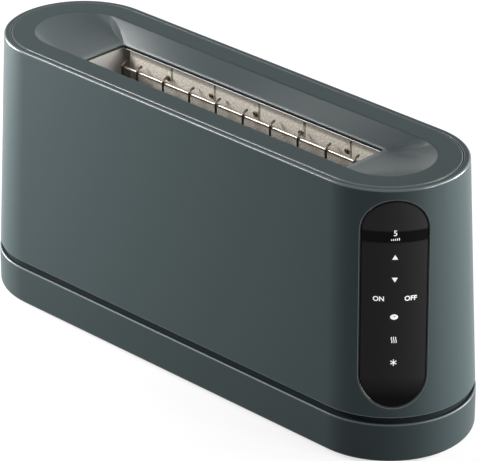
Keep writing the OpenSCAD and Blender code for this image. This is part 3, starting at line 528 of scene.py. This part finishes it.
# %% Body shell
PATCH, PATCH_STEPS, PATCH_ROWS = 30 * MM, 20, 44
REAR_STEPS, FRONT_STEPS = 40, 8
patch_low, patch_high = foot_z + 3 * MM, top_z - 2.5 * MM


def shell_ring(z, inset):
    """Ring round the body that starts with the patch round the window."""
    straight, radius = skin(z, inset)
    patch = [on_skin(PATCH * (2 * k / PATCH_STEPS - 1), z, inset) for k in range(PATCH_STEPS + 1)]
    first = atan2(patch[-1].y, patch[-1].x - straight / 2)
    last = atan2(patch[0].y, patch[0].x - straight / 2)

    def end(side, a):
        return Vector((side * straight / 2 + radius * cos(a), radius * sin(a), z))

    rear = [first + (pi / 2 - first) * k / REAR_STEPS for k in range(1, REAR_STEPS + 1)]
    ring = patch + [end(1, a) for a in rear]
    ring += [Vector((straight * (0.5 - k / SIDE_STEPS), radius, z)) for k in range(1, SIDE_STEPS)]
    ring += [end(-1, pi / 2 + pi * k / ARC_STEPS) for k in range(ARC_STEPS + 1)]
    ring += [Vector((straight * (k / SIDE_STEPS - 0.5), -radius, z)) for k in range(1, SIDE_STEPS)]
    return ring + [end(1, (last + pi / 2) * k / FRONT_STEPS - pi / 2) for k in range(FRONT_STEPS)]


HEM_WIDTH, HEM_ROLL = 5.0 * MM, 0.6 * MM
RIM_WIDTH, RIM_EDGE, RIM_DEPTH = 4.4 * MM, 0.55 * MM, 2.4 * MM
profile = [(foot_z, HEM_WIDTH), (foot_z, HEM_ROLL)]
profile += [(foot_z + 0.3 * HEM_ROLL, 0.3 * HEM_ROLL), (foot_z + HEM_ROLL, 0.0)]
wall_first = len(profile)
wall_last = wall_first + PATCH_ROWS
profile += [(patch_low + (patch_high - patch_low) * k / PATCH_ROWS, 0.0) for k in range(PATCH_ROWS + 1)]
profile += [(top_z + up, along) for along, up in quarter(RIM_ROLL, 5)]
profile += [(top_z, RIM_WIDTH * 0.6)]
profile += [(top_z + up, RIM_WIDTH - along) for along, up in quarter(RIM_EDGE, 3)[::-1]]
profile += [(top_z - RIM_DEPTH, RIM_WIDTH)]
rings = [shell_ring(z, inset) for z, inset in profile]
verts, faces = loft(rings)
wide = len(rings[0])
faces = [f for f in faces if f[0] % wide >= PATCH_STEPS or not wall_first <= f[0] // wide < wall_last]
steps = list(zip(profile, profile[1:]))
turned = [i for i, (a, b) in enumerate(steps) if a[0] != b[0] and a[1] != b[1]]
edges = [k for k, f in enumerate(faces) if f[0] // wide in turned]
print("rings:", len(rings), "rows that turn:", turned)

# %% [markdown]
# ## Window in the body shell
# The patch's border is walked once round, and each of its points is drawn toward the nearest point of the
# window. Five rings reach the window, four more roll its edge over a quarter round, and a last one goes
# straight in behind the glass.

# %% Window in the body shell
border = [(wall_first, k) for k in range(PATCH_STEPS)]
border += [(wall_first + k, PATCH_STEPS) for k in range(PATCH_ROWS)]
border += [(wall_last, PATCH_STEPS - k) for k in range(PATCH_STEPS)]
border += [(wall_last - k, 0) for k in range(PATCH_ROWS)]
outer = [(PATCH * (2 * k / PATCH_STEPS - 1), profile[row][0]) for row, k in border]
WINDOW, WINDOW_ROLL = PANEL_HALF - 0.1 * MM, 0.7 * MM
near = [round_window(t, z, WINDOW + WINDOW_ROLL) for t, z in outer]
window_rings = []
for f in (0.3, 0.55, 0.75, 0.9, 1.0):
    window_rings.append([on_skin(t + (a - t) * f, z + (b - z) * f) for (t, z), (a, b) in zip(outer, near)])
roll_in = [(1 - sin(a), 1 - cos(a)) for a in (radians(22.5 * k) for k in range(1, 5))] + [(0, 3.0)]
for out, depth in roll_in:
    reach = WINDOW + out * WINDOW_ROLL
    window_rings.append([on_skin(*round_window(t, z, reach), depth * WINDOW_ROLL) for t, z in outer])
previous = [row * wide + k for row, k in border]
for ring in window_rings:
    current = list(range(len(verts), len(verts) + len(ring)))
    verts += ring
    n = len(ring)
    faces += [(previous[j], previous[(j + 1) % n], current[(j + 1) % n], current[j]) for j in range(n)]
    previous = current
edges += range(len(faces) - len(roll_in) * len(outer), len(faces))
body = make("body_sleeve", verts, faces, body_paint, "housing", ["body_shell"])
paint_faces(body, edge_paint, edges)
thicken(body, 1.4)
soften(body, 0)
print("body sleeve faces:", len(faces))

# %% [markdown]
# ## Rings round the slot
# The slot is a long rectangle with tight corners, and the cover has to lead from a stadium to it. That works
# when the slot's ring has as many points as the stadium's: half of each round end goes to the slot's short
# side, and the quarters left and right of it are gathered at the corners.

# %% Rings round the slot
def slot_side(a, half_l, half_w, c):
    """Point of a rounded slot's right end that faces the direction a, in degrees."""
    if abs(a) <= 45:
        return half_l, (half_w - c) * a / 45
    b = radians(2 * a - 90 if a > 0 else 2 * a + 90)
    return half_l - c + c * cos(b), (half_w - c if a > 0 else c - half_w) + c * sin(b)


def slot_ring(out, z):
    """Ring round the slot, widened by out, with as many points as a stadium."""
    half_l, half_w, c = SLOT_LENGTH / 2 + out, SLOT_WIDTH / 2 + out, SLOT_CORNER
    turns = [180 * k / ARC_STEPS - 90 for k in range(ARC_STEPS + 1)]
    return long_ring([slot_side(a, half_l, half_w, c) for a in turns], 2 * (half_l - c), half_w, z)


def bend(starts, corners, ends, steps=6):
    """Rings along a curve that leaves starts toward corners and arrives at ends."""
    rings = []
    for u in (k / steps for k in range(steps + 1)):
        parts = zip(starts, corners, ends)
        rings.append([(1 - u) ** 2 * a + 2 * u * (1 - u) * b + u * u * c for a, b, c in parts])
    return rings


SLOT_LENGTH, SLOT_WIDTH, SLOT_CORNER = 239 * MM, 38.8 * MM, 1.5 * MM
slot_z, lip_z = top_z - 10 * MM, top_z - 11.3 * MM
print("slot in mm:", round(SLOT_LENGTH / MM, 1), round(SLOT_WIDTH / MM, 1))

# %% [markdown]
# ## Top cover
# The cover lies flush inside the rim and sinks to the slot in one drawn funnel: steep along the sides, a
# shallow dish at the round ends. It could be cut from a plate and bevelled, but a loft from the outer
# stadium inward flows more evenly. The recess's upper edge and the slot's lip are drawn over a radius, so
# they get a short curve in place of a fold, and the lip ends in a small hem.

# %% Top cover
COVER_GAP, COVER_DEPTH, COVER_EDGE, EDGE_STEPS = 0.3 * MM, 2 * MM, 0.9 * MM, 4
RECESS_RADIUS, RECESS_BEND, LIP_BEND = 32 * MM, 0.6 * MM, 0.4 * MM
SLOPE_STEPS, DISH, TURN_LENGTH = 16, 0.9, 0.3 * RECESS_RADIUS
rim_straight, rim_radius = skin(top_z)
cover_radius = rim_radius - RIM_WIDTH - COVER_GAP
recess_edge = stadium(rim_straight, RECESS_RADIUS, top_z)
slot_edge = slot_ring(0, slot_z)
slope_top = [a + (b - a).normalized() * RECESS_BEND for a, b in zip(recess_edge, slot_edge)]
slope_low = [b + (a - b).normalized() * LIP_BEND for a, b in zip(recess_edge, slot_edge)]
rings = [stadium(rim_straight, cover_radius, top_z - COVER_DEPTH)]
for along, up in quarter(COVER_EDGE, EDGE_STEPS):
    rings.append(stadium(rim_straight, cover_radius - along, top_z + up))
flat_from = len(rings) - 1
rings += bend(stadium(rim_straight, RECESS_RADIUS + RECESS_BEND, top_z), recess_edge, slope_top)
slope_from = len(rings) - 1
for u in (k / SLOPE_STEPS for k in range(1, SLOPE_STEPS)):
    ring = []
    for a, b in zip(slope_top, slope_low):
        turn_in = min(max((abs(a.x) - rim_straight / 2) / TURN_LENGTH, 0), 1)
        p = a + (b - a) * u
        p.z -= turn_in * turn_in * (3 - 2 * turn_in) * u * (1 - u) * DISH * (a.z - b.z)
        ring.append(p)
    rings.append(ring)
lip_from = len(rings) - 1
rings += bend(slope_low, slot_edge, slot_ring(0, slot_z - LIP_BEND), 4)
rings += [slot_ring(out * MM, lip_z + up * MM) for out, up in ((0, 0.3), (0.1, 0.08), (0.3, 0))]
verts, faces = loft(rings)
cover = make("slot_cover", verts, faces, body_paint, "housing", ["top_cover"])
wide = len(rings[0])
funnel = range(slope_from * wide, lip_from * wide)
paint_faces(cover, edge_paint, [*range(flat_from * wide), *range(lip_from * wide, len(faces))])
paint_faces(cover, slope_paint, funnel)
paint_faces(cover, dish_paint, [k for k in funnel if k % (wide // 2) < ARC_STEPS])
thicken(cover, 1.0)
soften(cover, 0)
print("top cover faces:", len(faces))

# %% [markdown]
# ## Base ring
# Below a dark groove the body stands on a separate ring of the same colour, rounded under its lower edge. A
# turned profile would do for a round base. This one has straight sides, so it is one closed loft: up the
# outside, over the edge, into the groove and up its neck, and down the inside again. The upper edge gets a
# paint of its own, and the groove the same paint darkened as painted shade.

# %% Base ring
GROOVE, FOOT_ROUND, BASE_EDGE, NECK_INSET, WALL = 4.5 * MM, 4 * MM, 1.0 * MM, 3 * MM, 6.6 * MM
NECK_RISE, FOOT_LEDGE, LEDGE_RISE = 0.8 * MM, 2.5 * MM, 3 * MM
ring_low, ring_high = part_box("base_ring")
base_straight, base_radius = foot_straight, ring_high.y
ring_top, neck_top = foot_z - GROOVE, foot_z + NECK_RISE
neck, inside = base_radius - NECK_INSET, base_radius - WALL
round_middle = base_radius - FOOT_ROUND
profile = [(round_middle - FOOT_LEDGE, ring_low.z)]
for a in (pi / 2 * k / 8 for k in range(9)):
    profile.append((round_middle + FOOT_ROUND * sin(a), ring_low.z + FOOT_ROUND * (1 - cos(a))))
edge_from = len(profile)
profile += [(base_radius - along, ring_top + up) for along, up in quarter(BASE_EDGE, 4)]
groove_from = len(profile) - 1
profile += [(neck + 0.2 * MM, ring_top), (neck, ring_top + 0.2 * MM), (neck, neck_top)]
groove_to = len(profile) - 1
profile += [(inside, neck_top), (inside, ring_low.z + LEDGE_RISE)]
profile += [(round_middle - FOOT_LEDGE, ring_low.z + FOOT_LEDGE)]
verts, faces = loft([stadium(base_straight, r, z) for r, z in profile], closed=True)
base = make("base_collar", verts, faces, base_paint, "housing", ["base_ring"])
wide = len(faces) // len(profile)
paint_faces(base, base_edge_paint, range(edge_from * wide, groove_from * wide))
# the groove's faces carry the painted shade
paint_faces(base, groove_shade_paint, range(groove_from * wide, groove_to * wide))
print("base ring rows:", len(profile), "groove rows:", list(range(groove_from, groove_to)))

# %% [markdown]
# ## Openings in the base ring
# The rear wall of the base has a window for the crumb tray and a hole for the mains gland. Both sit in a
# flat wall with nothing to mirror, so here a Boolean is the quick and clean way. It is worked into the mesh
# at once, and the cutter is removed again.

# %% Openings in the base ring
def cut(piece, verts, faces):
    """Boolean cut that is worked into the mesh, so that no cutter is left in the scene."""
    mesh = bpy.data.meshes.new("cutter")
    mesh.from_pydata([tuple(v) for v in verts], [], faces)
    cutter = put_in_scene("cutter", mesh)
    bite = piece.modifiers.new("cut", "BOOLEAN")
    bite.operation, bite.object = "DIFFERENCE", cutter
    bpy.context.view_layer.update()
    shown = piece.evaluated_get(bpy.context.evaluated_depsgraph_get())
    piece.data = bpy.data.meshes.new_from_object(shown)
    piece.modifiers.remove(bite)
    bpy.data.objects.remove(cutter)


def prism(outline, y0, y1):
    """Straight cutter from y0 to y1; its outline is (x, z) pairs, anticlockwise seen from the front."""
    n = len(outline)
    verts = [(x, y, z) for y in (y0, y1) for x, z in outline]
    faces = [tuple(range(n)), tuple(range(n, 2 * n))[::-1]]
    return verts, faces + [((k + 1) % n, k, k + n, (k + 1) % n + n) for k in range(n)]


def full_turn(steps):
    """Angles of a full turn."""
    return [2 * pi * k / steps for k in range(steps)]


TRAY_SEAM, GLAND_FLANGE = 0.4 * MM, 2.5 * MM
tray_low, tray_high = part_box("tray_front")
x0, x1 = tray_low.x - TRAY_SEAM, tray_high.x + TRAY_SEAM
z0, z1 = tray_low.z - TRAY_SEAM, tray_high.z + TRAY_SEAM
cut(base, *prism([(x0, z0), (x1, z0), (x1, z1), (x0, z1)], inside - MM, base_radius + MM))
gland_low, gland_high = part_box("cord_gland")
gland_middle = (gland_low + gland_high) / 2
gland_radius = (gland_high.z - gland_low.z) / 2 - GLAND_FLANGE
hole = []
for a in full_turn(48):
    hole.append((gland_middle.x + gland_radius * cos(a), gland_middle.z + gland_radius * sin(a)))
cut(base, *prism(hole, inside - MM, base_radius + MM))
soften(base, 0)
print("base ring faces:", len(base.data.polygons))

# %% [markdown]
# ## Touch glass
# The controls sit behind one pill-shaped pane of black glass, bent to the body's curve. The pane is laid out
# row by row on the body's own skin, a hair below it, so it follows the cone exactly; a solidify gives it its
# thickness, and a bevel grinds its edge. A ramp over the height multiplies the finish by grey tones: a
# painted reflection makes the pane lighter at the top, painted shade makes it darkest at its foot, and it is
# dark in a band behind the display.

# %% Touch glass
def tone_by_height(material, tones):
    """Multiply a finish by grey tones that change with the height, given as (mm above the floor, tone)."""
    nodes, links = material.node_tree.nodes, material.node_tree.links
    place = next(n for n in nodes if n.type == "TEX_COORD")
    height = nodes.new("ShaderNodeSeparateXYZ")
    links.new(place.outputs["Object"], height.inputs[0])
    low, high = tones[0][0], tones[-1][0]
    rise = nodes.new("ShaderNodeMapRange")
    rise.inputs["From Min"].default_value = low * MM
    rise.inputs["From Max"].default_value = high * MM
    links.new(height.outputs["Z"], rise.inputs["Value"])
    ramp = nodes.new("ShaderNodeValToRGB")
    while len(ramp.color_ramp.elements) < len(tones):
        ramp.color_ramp.elements.new(0.5)
    for stop, (z, tone) in zip(ramp.color_ramp.elements, tones):
        stop.position = (z - low) / (high - low)
        stop.color = (tone, tone, tone, 1)
    links.new(rise.outputs[0], ramp.inputs["Fac"])
    shader = nodes["Principled BSDF"]
    toned = nodes.new("ShaderNodeMix")
    toned.data_type, toned.blend_type = "RGBA", "MULTIPLY"
    toned.inputs["Factor"].default_value = 1
    links.new(shader.inputs["Base Color"].links[0].from_socket, toned.inputs["A"])
    links.new(ramp.outputs["Color"], toned.inputs["B"])
    links.new(toned.outputs["Result"], shader.inputs["Base Color"])


PANE_DEPTH, ACROSS, UPRIGHT_ROWS = 0.3 * MM, 28, 24
end_turns = [radians(a) for a in (1.5, 6, 12, 20, 30, 40, 50, 60, 70, 80)]
foot_rows = [(GLASS_FOOT - GLASS_HALF * cos(a), GLASS_HALF * sin(a)) for a in end_turns]
rows = list(foot_rows)
for k in range(UPRIGHT_ROWS + 1):
    rows.append((GLASS_FOOT + (GLASS_HEAD - GLASS_FOOT) * k / UPRIGHT_ROWS, GLASS_HALF))
rows += [(GLASS_HEAD + GLASS_FOOT - z, half) for z, half in foot_rows[::-1]]
verts = [on_skin(half * (2 * k / ACROSS - 1), z, PANE_DEPTH) for z, half in rows for k in range(ACROSS + 1)]
faces = []
for i in range(len(rows) - 1):
    for k in range(ACROSS):
        a, b = i * (ACROSS + 1) + k, (i + 1) * (ACROSS + 1) + k
        faces.append((a, a + 1, b + 1, b))
glass = make("touch_pane", verts, faces, finishes["black_glass"], "housing", ["touch_glass"])
glass.data.materials.append(finishes["glass_edge"])
thicken(glass, 1.8)
soften(glass, 0.45, 1)
glass.modifiers["soft edges"].material = 1
# grey tones by height: painted reflection lighter at the top, painted shade at the foot, display band dark
glass_reflection_and_display_tones = [(48, 0.05), (62, 0.75), (154.5, 0.8), (155.5, 0.1), (162.3, 0.1), (163.3, 1.0)]
tone_by_height(finishes["black_glass"], glass_reflection_and_display_tones)
print("glass rows:", len(rows), "faces:", len(faces))

# %% [markdown]
# ## Bezel
# A thin polished bezel frames the pane and fills the gap to the body's rolled edge. It could be a curve with
# a bevel profile, but a loft of pill outlines lies on the body's skin by itself: each outline is the same
# pill at another distance and depth.

# %% Bezel
def pill(reach, depth, turns=32, side=24):
    """Ring on the body's skin at a given distance from the window's middle line."""
    arc = [(reach * cos(pi * k / turns), reach * sin(pi * k / turns)) for k in range(turns)]
    tall = GLASS_HEAD - GLASS_FOOT
    flat = [(t, GLASS_HEAD + z) for t, z in arc]
    flat += [(-reach, GLASS_HEAD - tall * k / side) for k in range(side)]
    flat += [(-t, GLASS_FOOT - z) for t, z in arc]
    flat += [(reach, GLASS_FOOT + tall * k / side) for k in range(side)]
    return [on_skin(t, z, depth) for t, z in flat]


section = [(0.5, 2.2), (0.5, 0.6), (0.95, 0.14), (1.08, 0.1), (1.15, 0.2), (1.15, 2.2)]
verts, faces = loft([pill(GLASS_HALF + out * MM, depth * MM) for out, depth in section][::-1], closed=True)
bezel = make("pane_bezel", verts, faces, finishes["bezel"], "housing", ["panel_bezel"])
soften(bezel, 0)
print("bezel faces:", len(faces))

# %% [markdown]
# ## Drawing signs
# The touch keys have no travel: they are white signs that shine through the glass. They could be an image
# texture, but drawn as thin meshes they stay sharp at any distance. Each sign is drawn flat, in millimetres
# from the panel's middle line and above the floor, and then laid on the pane's face.

# %% Drawing signs
def lay_on_glass(name, flat, faces, material):
    """Thin printed sign from flat points (right, height) in mm."""
    verts = [on_skin(t * MM, z * MM, PANE_DEPTH - 0.03 * MM) for t, z in flat]
    thicken(make(name, verts, faces, material, "housing"), 0.02)


def stroke(path, width):
    """Points and quads of a line of even width along a path."""
    points = []
    for k, (x, y) in enumerate(path):
        before, after = path[max(k - 1, 0)], path[min(k + 1, len(path) - 1)]
        dx, dy = after[0] - before[0], after[1] - before[1]
        size = hypot(dx, dy) * 2 / width
        points += [(x + dy / size, y - dx / size), (x - dy / size, y + dx / size)]
    return points, [(2 * k, 2 * k + 2, 2 * k + 3, 2 * k + 1) for k in range(len(path) - 1)]


def gather(parts):
    """One list of points and faces from several."""
    points, faces = [], []
    for more, quads in parts:
        faces += [tuple(i + len(points) for i in f) for f in quads]
        points += more
    return points, faces


def ellipse_ring(middle, outer, inner, shift, steps=32):
    """Ellipse with a small ellipse left open inside it."""
    points = []
    for a in full_turn(steps):
        points.append((middle[0] + outer[0] * cos(a), middle[1] + outer[1] * sin(a)))
        points.append((middle[0] + shift[0] + inner[0] * cos(a), middle[1] + shift[1] + inner[1] * sin(a)))
    n = 2 * steps
    return points, [(2 * k, (2 * k + 2) % n, (2 * k + 3) % n, 2 * k + 1) for k in range(steps)]


def arrow(z, up):
    """Triangle that points up, or down for -1, with a point in the middle of each side."""
    low, high = z - up * 1.6, z + up * 1.6
    return [(-1.85, low), (0, low), (1.85, low), (0.92, z), (0, high), (-0.92, z)]


print("panel from", round(glass_low.z / MM, 1), "to", round(glass_high.z / MM, 1), "mm above the floor")

# %% [markdown]
# ## Signs on the glass
# From the top down stand a level digit over a row of level bars, an up and a down arrow, on and off, a
# bagel, a warming sign and a defrost star. Words come from a text curve, whose long triangles would cut
# through the bent glass; they are divided until they can follow it.

# %% Signs on the glass
CAPITAL_SHARE, LONGEST_EDGE = 0.69, 0.5


def letters(text, height, middle, weight=0.035):
    """Flat triangles of a word, centred on a point, with its edges cut short so that it can bend."""
    curve = bpy.data.curves.new("word", "FONT")
    curve.body = text
    curve.align_x, curve.align_y = "CENTER", "CENTER"
    curve.size = height / CAPITAL_SHARE
    curve.offset = weight * height
    word = put_in_scene("word", curve)
    mesh = bpy.data.meshes.new_from_object(word.evaluated_get(bpy.context.evaluated_depsgraph_get()))
    bpy.data.objects.remove(word)
    work = bmesh.new()
    work.from_mesh(mesh)
    bmesh.ops.triangulate(work, faces=work.faces)
    for _ in range(2):
        long_edges = [e for e in work.edges if e.calc_length() > LONGEST_EDGE]
        bmesh.ops.subdivide_edges(work, edges=long_edges, cuts=1)
        bmesh.ops.triangulate(work, faces=work.faces)
    work.verts.index_update()
    points = [(v.co.x + middle[0], v.co.y + middle[1]) for v in work.verts]
    faces = [tuple(v.index for v in f.verts) for f in work.faces]
    work.free()
    bpy.data.meshes.remove(mesh)
    return points, faces


arrow_faces = [(0, 1, 5), (1, 2, 3), (1, 3, 5), (5, 3, 4)]
bars = [(1.2 * k, 1.4 + 0.2 * k) for k in range(-2, 3)]
wave = [(0.25 * sin(2 * pi * k / 12), 4.2 * (k / 12 - 0.5)) for k in range(13)]
spoke = [2.2 * k / 4 for k in range(-4, 5)]
star = [[(r * cos(radians(a)), 73.1 + r * sin(radians(a))) for r in spoke] for a in (90, 30, 150)]
signs = {
    "level_digit": letters("5", 3.7, (0, 161.4), 0.01),
    "level_bars": gather([stroke([(x, 156.6), (x, 156.6 + tall)], 0.55) for x, tall in bars]),
    "up_arrow": (arrow(145.4, 1), arrow_faces),
    "down_arrow": (arrow(129.9, -1), [f[::-1] for f in arrow_faces]),
    "on_word": letters("ON", 3.1, (-9.9, 116.8)),
    "off_word": letters("OFF", 3.1, (10.2, 116.8)),
    "bagel_sign": ellipse_ring((0, 104.6), (2.5, 1.8), (0.75, 0.28), (0.1, 0.25)),
    "warm_sign": gather([stroke([(x + dx, 88.8 + dz) for dx, dz in wave], 0.5) for x in (-1.35, 0, 1.35)]),
    "defrost_sign": gather([stroke(path, 0.6) for path in star]),
}
sign_print = finish("white sign print", (0.86, 0.87, 0.88), 0.3, 0.04, (0.4, 0.5), 0.001)
glow = sign_print.node_tree.nodes["Principled BSDF"].inputs
glow["Emission Color"].default_value = (1, 1, 1, 1)
glow["Emission Strength"].default_value = 0.5
for name, (points, faces) in signs.items():
    lay_on_glass(name, points, faces, sign_print)
print("signs:", ", ".join(signs))

# %% [markdown]
# ## Tubes
# Rods and wires are tubes: a circle carried along a path. Blender's curves can do that with a bevel depth,
# but plain points and quads let the ends close in a rounded cap and need no conversion.

# %% Tubes
def tube(path, radius, sides=14):
    """Rounded tube along a path of points that lies in one upright plane."""
    path = [Vector(p) for p in path]
    across = Vector((1, 0, 0)) if abs(path[0].x - path[-1].x) < 1e-6 else Vector((0, 1, 0))
    start, end = (path[1] - path[0]).normalized(), (path[-1] - path[-2]).normalized()
    caps = [(cos(a) * radius, 1 - sin(a)) for a in (pi / 2.2, pi / 4, pi / 8)]
    stations = [(path[0] + start * radius * back, start, r) for r, back in caps]
    for k, p in enumerate(path):
        along = (path[min(k + 1, len(path) - 1)] - path[max(k - 1, 0)]).normalized()
        move = radius * (start if k == 0 else -end if k == len(path) - 1 else 0 * end)
        stations.append((p + move, along, radius))
    stations += [(path[-1] - end * radius * back, end, r) for r, back in caps[::-1]]
    rings = []
    for p, along, r in stations:
        up = along.cross(across)
        rings.append([p + r * (cos(a) * across + sin(a) * up) for a in full_turn(sides)])
    points, faces = loft(rings)
    return points, faces + [tuple(range(sides))[::-1], tuple(range(len(points) - sides, len(points)))]


WIRE_R, ROD_R, PIN_R = 0.8 * MM, 1.1 * MM, 1.2 * MM
print("wire, rod and pin across in mm:", [round(2 * r / MM, 1) for r in (WIRE_R, ROD_R, PIN_R)])

# %% [markdown]
# ## Bread guards
# On each side of the slot a row of upright wires keeps the bread off the heater. Each wire stands on a lower
# rod, leans against an upper rod and hooks over it with a short tail. Made as tubes, the hook's bend stays
# smooth where a CAD torus shows facets. Each guard rides on its own body, because it leans in with the
# shelf.

# %% Bread guards
HOOK_R, HOOK_TAIL, TAIL_RISE = 3.0 * MM, 2.9 * MM, radians(12)
ROD_HALF, PIN_FROM, PIN_Z = 117.6 * MM, 113.5 * MM, 92 * MM
guard_low, guard_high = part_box("rear_bread_guard")
WIRE_Y = guard_low.y + PIN_R
GUARD_Y = WIRE_Y + 1.65 * MM
PIVOT_Z, ROD_Z = guard_low.z + ROD_R, guard_high.z - 3.3 * MM
hook_z = ROD_Z + 0.4 * MM
hook = [(WIRE_Y, PIVOT_Z - ROD_R), (WIRE_Y, (PIVOT_Z + ROD_Z) / 2), (WIRE_Y, hook_z)]
for a in (radians(9 * k) for k in range(1, 9)):
    hook.append((WIRE_Y + HOOK_R * (1 - cos(a)), hook_z + HOOK_R * sin(a)))
hook.append((hook[-1][0] + HOOK_TAIL * cos(TAIL_RISE), hook[-1][1] + HOOK_TAIL * sin(TAIL_RISE)))
wire_places = [-114.1, *range(-100, 101, 25), 114.1]
SIDES = ((1, "rear"), (-1, "front"))
for side, name in SIDES:
    parts = [tube([(x * MM, side * y, z) for y, z in hook], WIRE_R) for x in wire_places]
    wire_faces = sum(len(part[1]) for part in parts)
    y = side * GUARD_Y
    parts.append(tube([(-ROD_HALF, y, ROD_Z), (ROD_HALF, y, ROD_Z)], ROD_R, 18))
    parts.append(tube([(guard_low.x, y, PIVOT_Z), (-guard_low.x, y, PIVOT_Z)], ROD_R, 18))
    y = side * WIRE_Y
    parts.append(tube([(PIN_FROM, y, PIN_Z), (guard_high.x, y, PIN_Z)], PIN_R, 18))
    points, faces = gather(parts)
    guard = make(f"{name}_guard_wires", points, faces, finishes["wire"], f"{name}_guard",
                 [f"{name}_bread_guard"])
    # the upright wires carry the darker steel as painted shade, the rods the brighter one
    paint_faces(guard, finishes["shaded_wire"], range(wire_faces))
    soften(guard, 0)
print("guard wires each side:", len(wire_places), "upper rod's height in mm:", round(ROD_Z / MM, 2))

# %% [markdown]
# ## Heater cards
# Behind the wires hangs a speckled card with slits in its upper edge. Its end stops short of the chamber's
# end plate, which leaves a dark corner. Its colour is darkened by height as painted light: a painted shadow
# under the bead above it, and painted shade below the rod and toward its foot. A Boolean could cut the
# slits, but a plain grid with the slits left out is simpler and has cleaner edges.

# %% Heater cards
CARD_LEFT, CARD_RIGHT = -115 * MM, 119.8 * MM
SLIT_HALF, SLIT_DEPTH = 0.3 * MM, 14 * MM
card_low, card_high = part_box("rear_heater_card")
slit_places = [(41 * k - 73.8) * MM for k in range(5)]
cuts = [CARD_LEFT]
for x in slit_places:
    cuts += [x - SLIT_HALF, x + SLIT_HALF]
cuts.append(CARD_RIGHT)
levels = [card_low.z, card_high.z - SLIT_DEPTH, card_high.z]
# painted shade by height: dark toward the foot and below the rod, a painted shadow under the bead
card_painted_shade_tones = [(48, 0.3), (150, 0.45), (163, 0.7), (166, 0.95), (172.6, 1.0), (174.4, 0.45), (176.2, 0.35)]
tone_by_height(finishes["mica"], card_painted_shade_tones)
for side, name in SIDES:
    y = side * (card_low.y + card_high.y) / 2
    points = [(x, y, z) for z in levels for x in cuts]
    n = len(cuts)
    faces = [(k, k + 1, k + 1 + n, k + n)[::side] for k in range(n - 1)]
    faces += [(k + n, k + 1 + n, k + 1 + 2 * n, k + 2 * n)[::side] for k in range(0, n - 1, 2)]
    card = make(f"{name}_card", points, faces, finishes["mica"], "housing", [f"{name}_heater_card"])
    sheet = card.modifiers.new("sheet", "SOLIDIFY")
    sheet.thickness, sheet.offset = card_high.y - card_low.y, 0
    soften(card, 0.12)
print("slits in each card:", len(slit_places))

# %% [markdown]
# ## Rivets and beads
# Beside each slit a hollow rivet holds the card to its clip. Above the card the reflector's sheet is folded
# toward the slot and its edge is rolled into a bead, so no raw edge meets the bread. A rivet is a turned
# profile, which a Screw modifier could make too; as plain points, all rivets of a card fit in one mesh. The
# bead is one more tube.

# %% Rivets and beads
def turn(section, middle, axis, steps=20):
    """Points and faces of a turned piece: section is (radius, height) along the axis, which lies in Y."""
    x, y, z = middle
    rings = []
    for radius, height in section:
        flat = [(radius * cos(a), axis * radius * sin(a)) for a in full_turn(steps)]
        rings.append([(x + right, y + axis * height, z + up) for right, up in flat])
    points, faces = loft(rings)
    faces = [(f[0], f[3], f[2], f[1]) for f in faces]
    return points, faces + [tuple(range(len(points) - steps, len(points)))]


RIVET_BESIDE, RIVET_BELOW = 3.3 * MM, 8 * MM
BEAD_HALF, BEAD_Y, BEAD_Z, BEAD_R = 119.9 * MM, 20.5 * MM, 177.25 * MM, 0.55 * MM
clip_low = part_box("rear_card_clips")[0]
rivet = [(1.9, 0), (1.85, 0.35), (1.5, 0.55), (1.15, 0.45), (0.9, 0.1), (0.6, 0.3), (0.1, 0.35)]
rivet = [(radius * MM, height * MM) for radius, height in rivet]
rivet_z = card_high.z - RIVET_BELOW
for side, name in SIDES:
    heads = [turn(rivet, (x - RIVET_BESIDE, side * clip_low.y, rivet_z), -side) for x in slit_places]
    points, faces = gather(heads)
    soften(make(f"{name}_rivets", points, faces, finishes["rivet"], "housing"), 0)
    y = side * BEAD_Y
    points, faces = tube([(-BEAD_HALF, y, BEAD_Z), (BEAD_HALF, y, BEAD_Z)], BEAD_R, 16)
    soften(make(f"{name}_reflector_bead", points, faces, finishes["bead"], "housing"), 0)
print("rivets on each card:", len(slit_places))
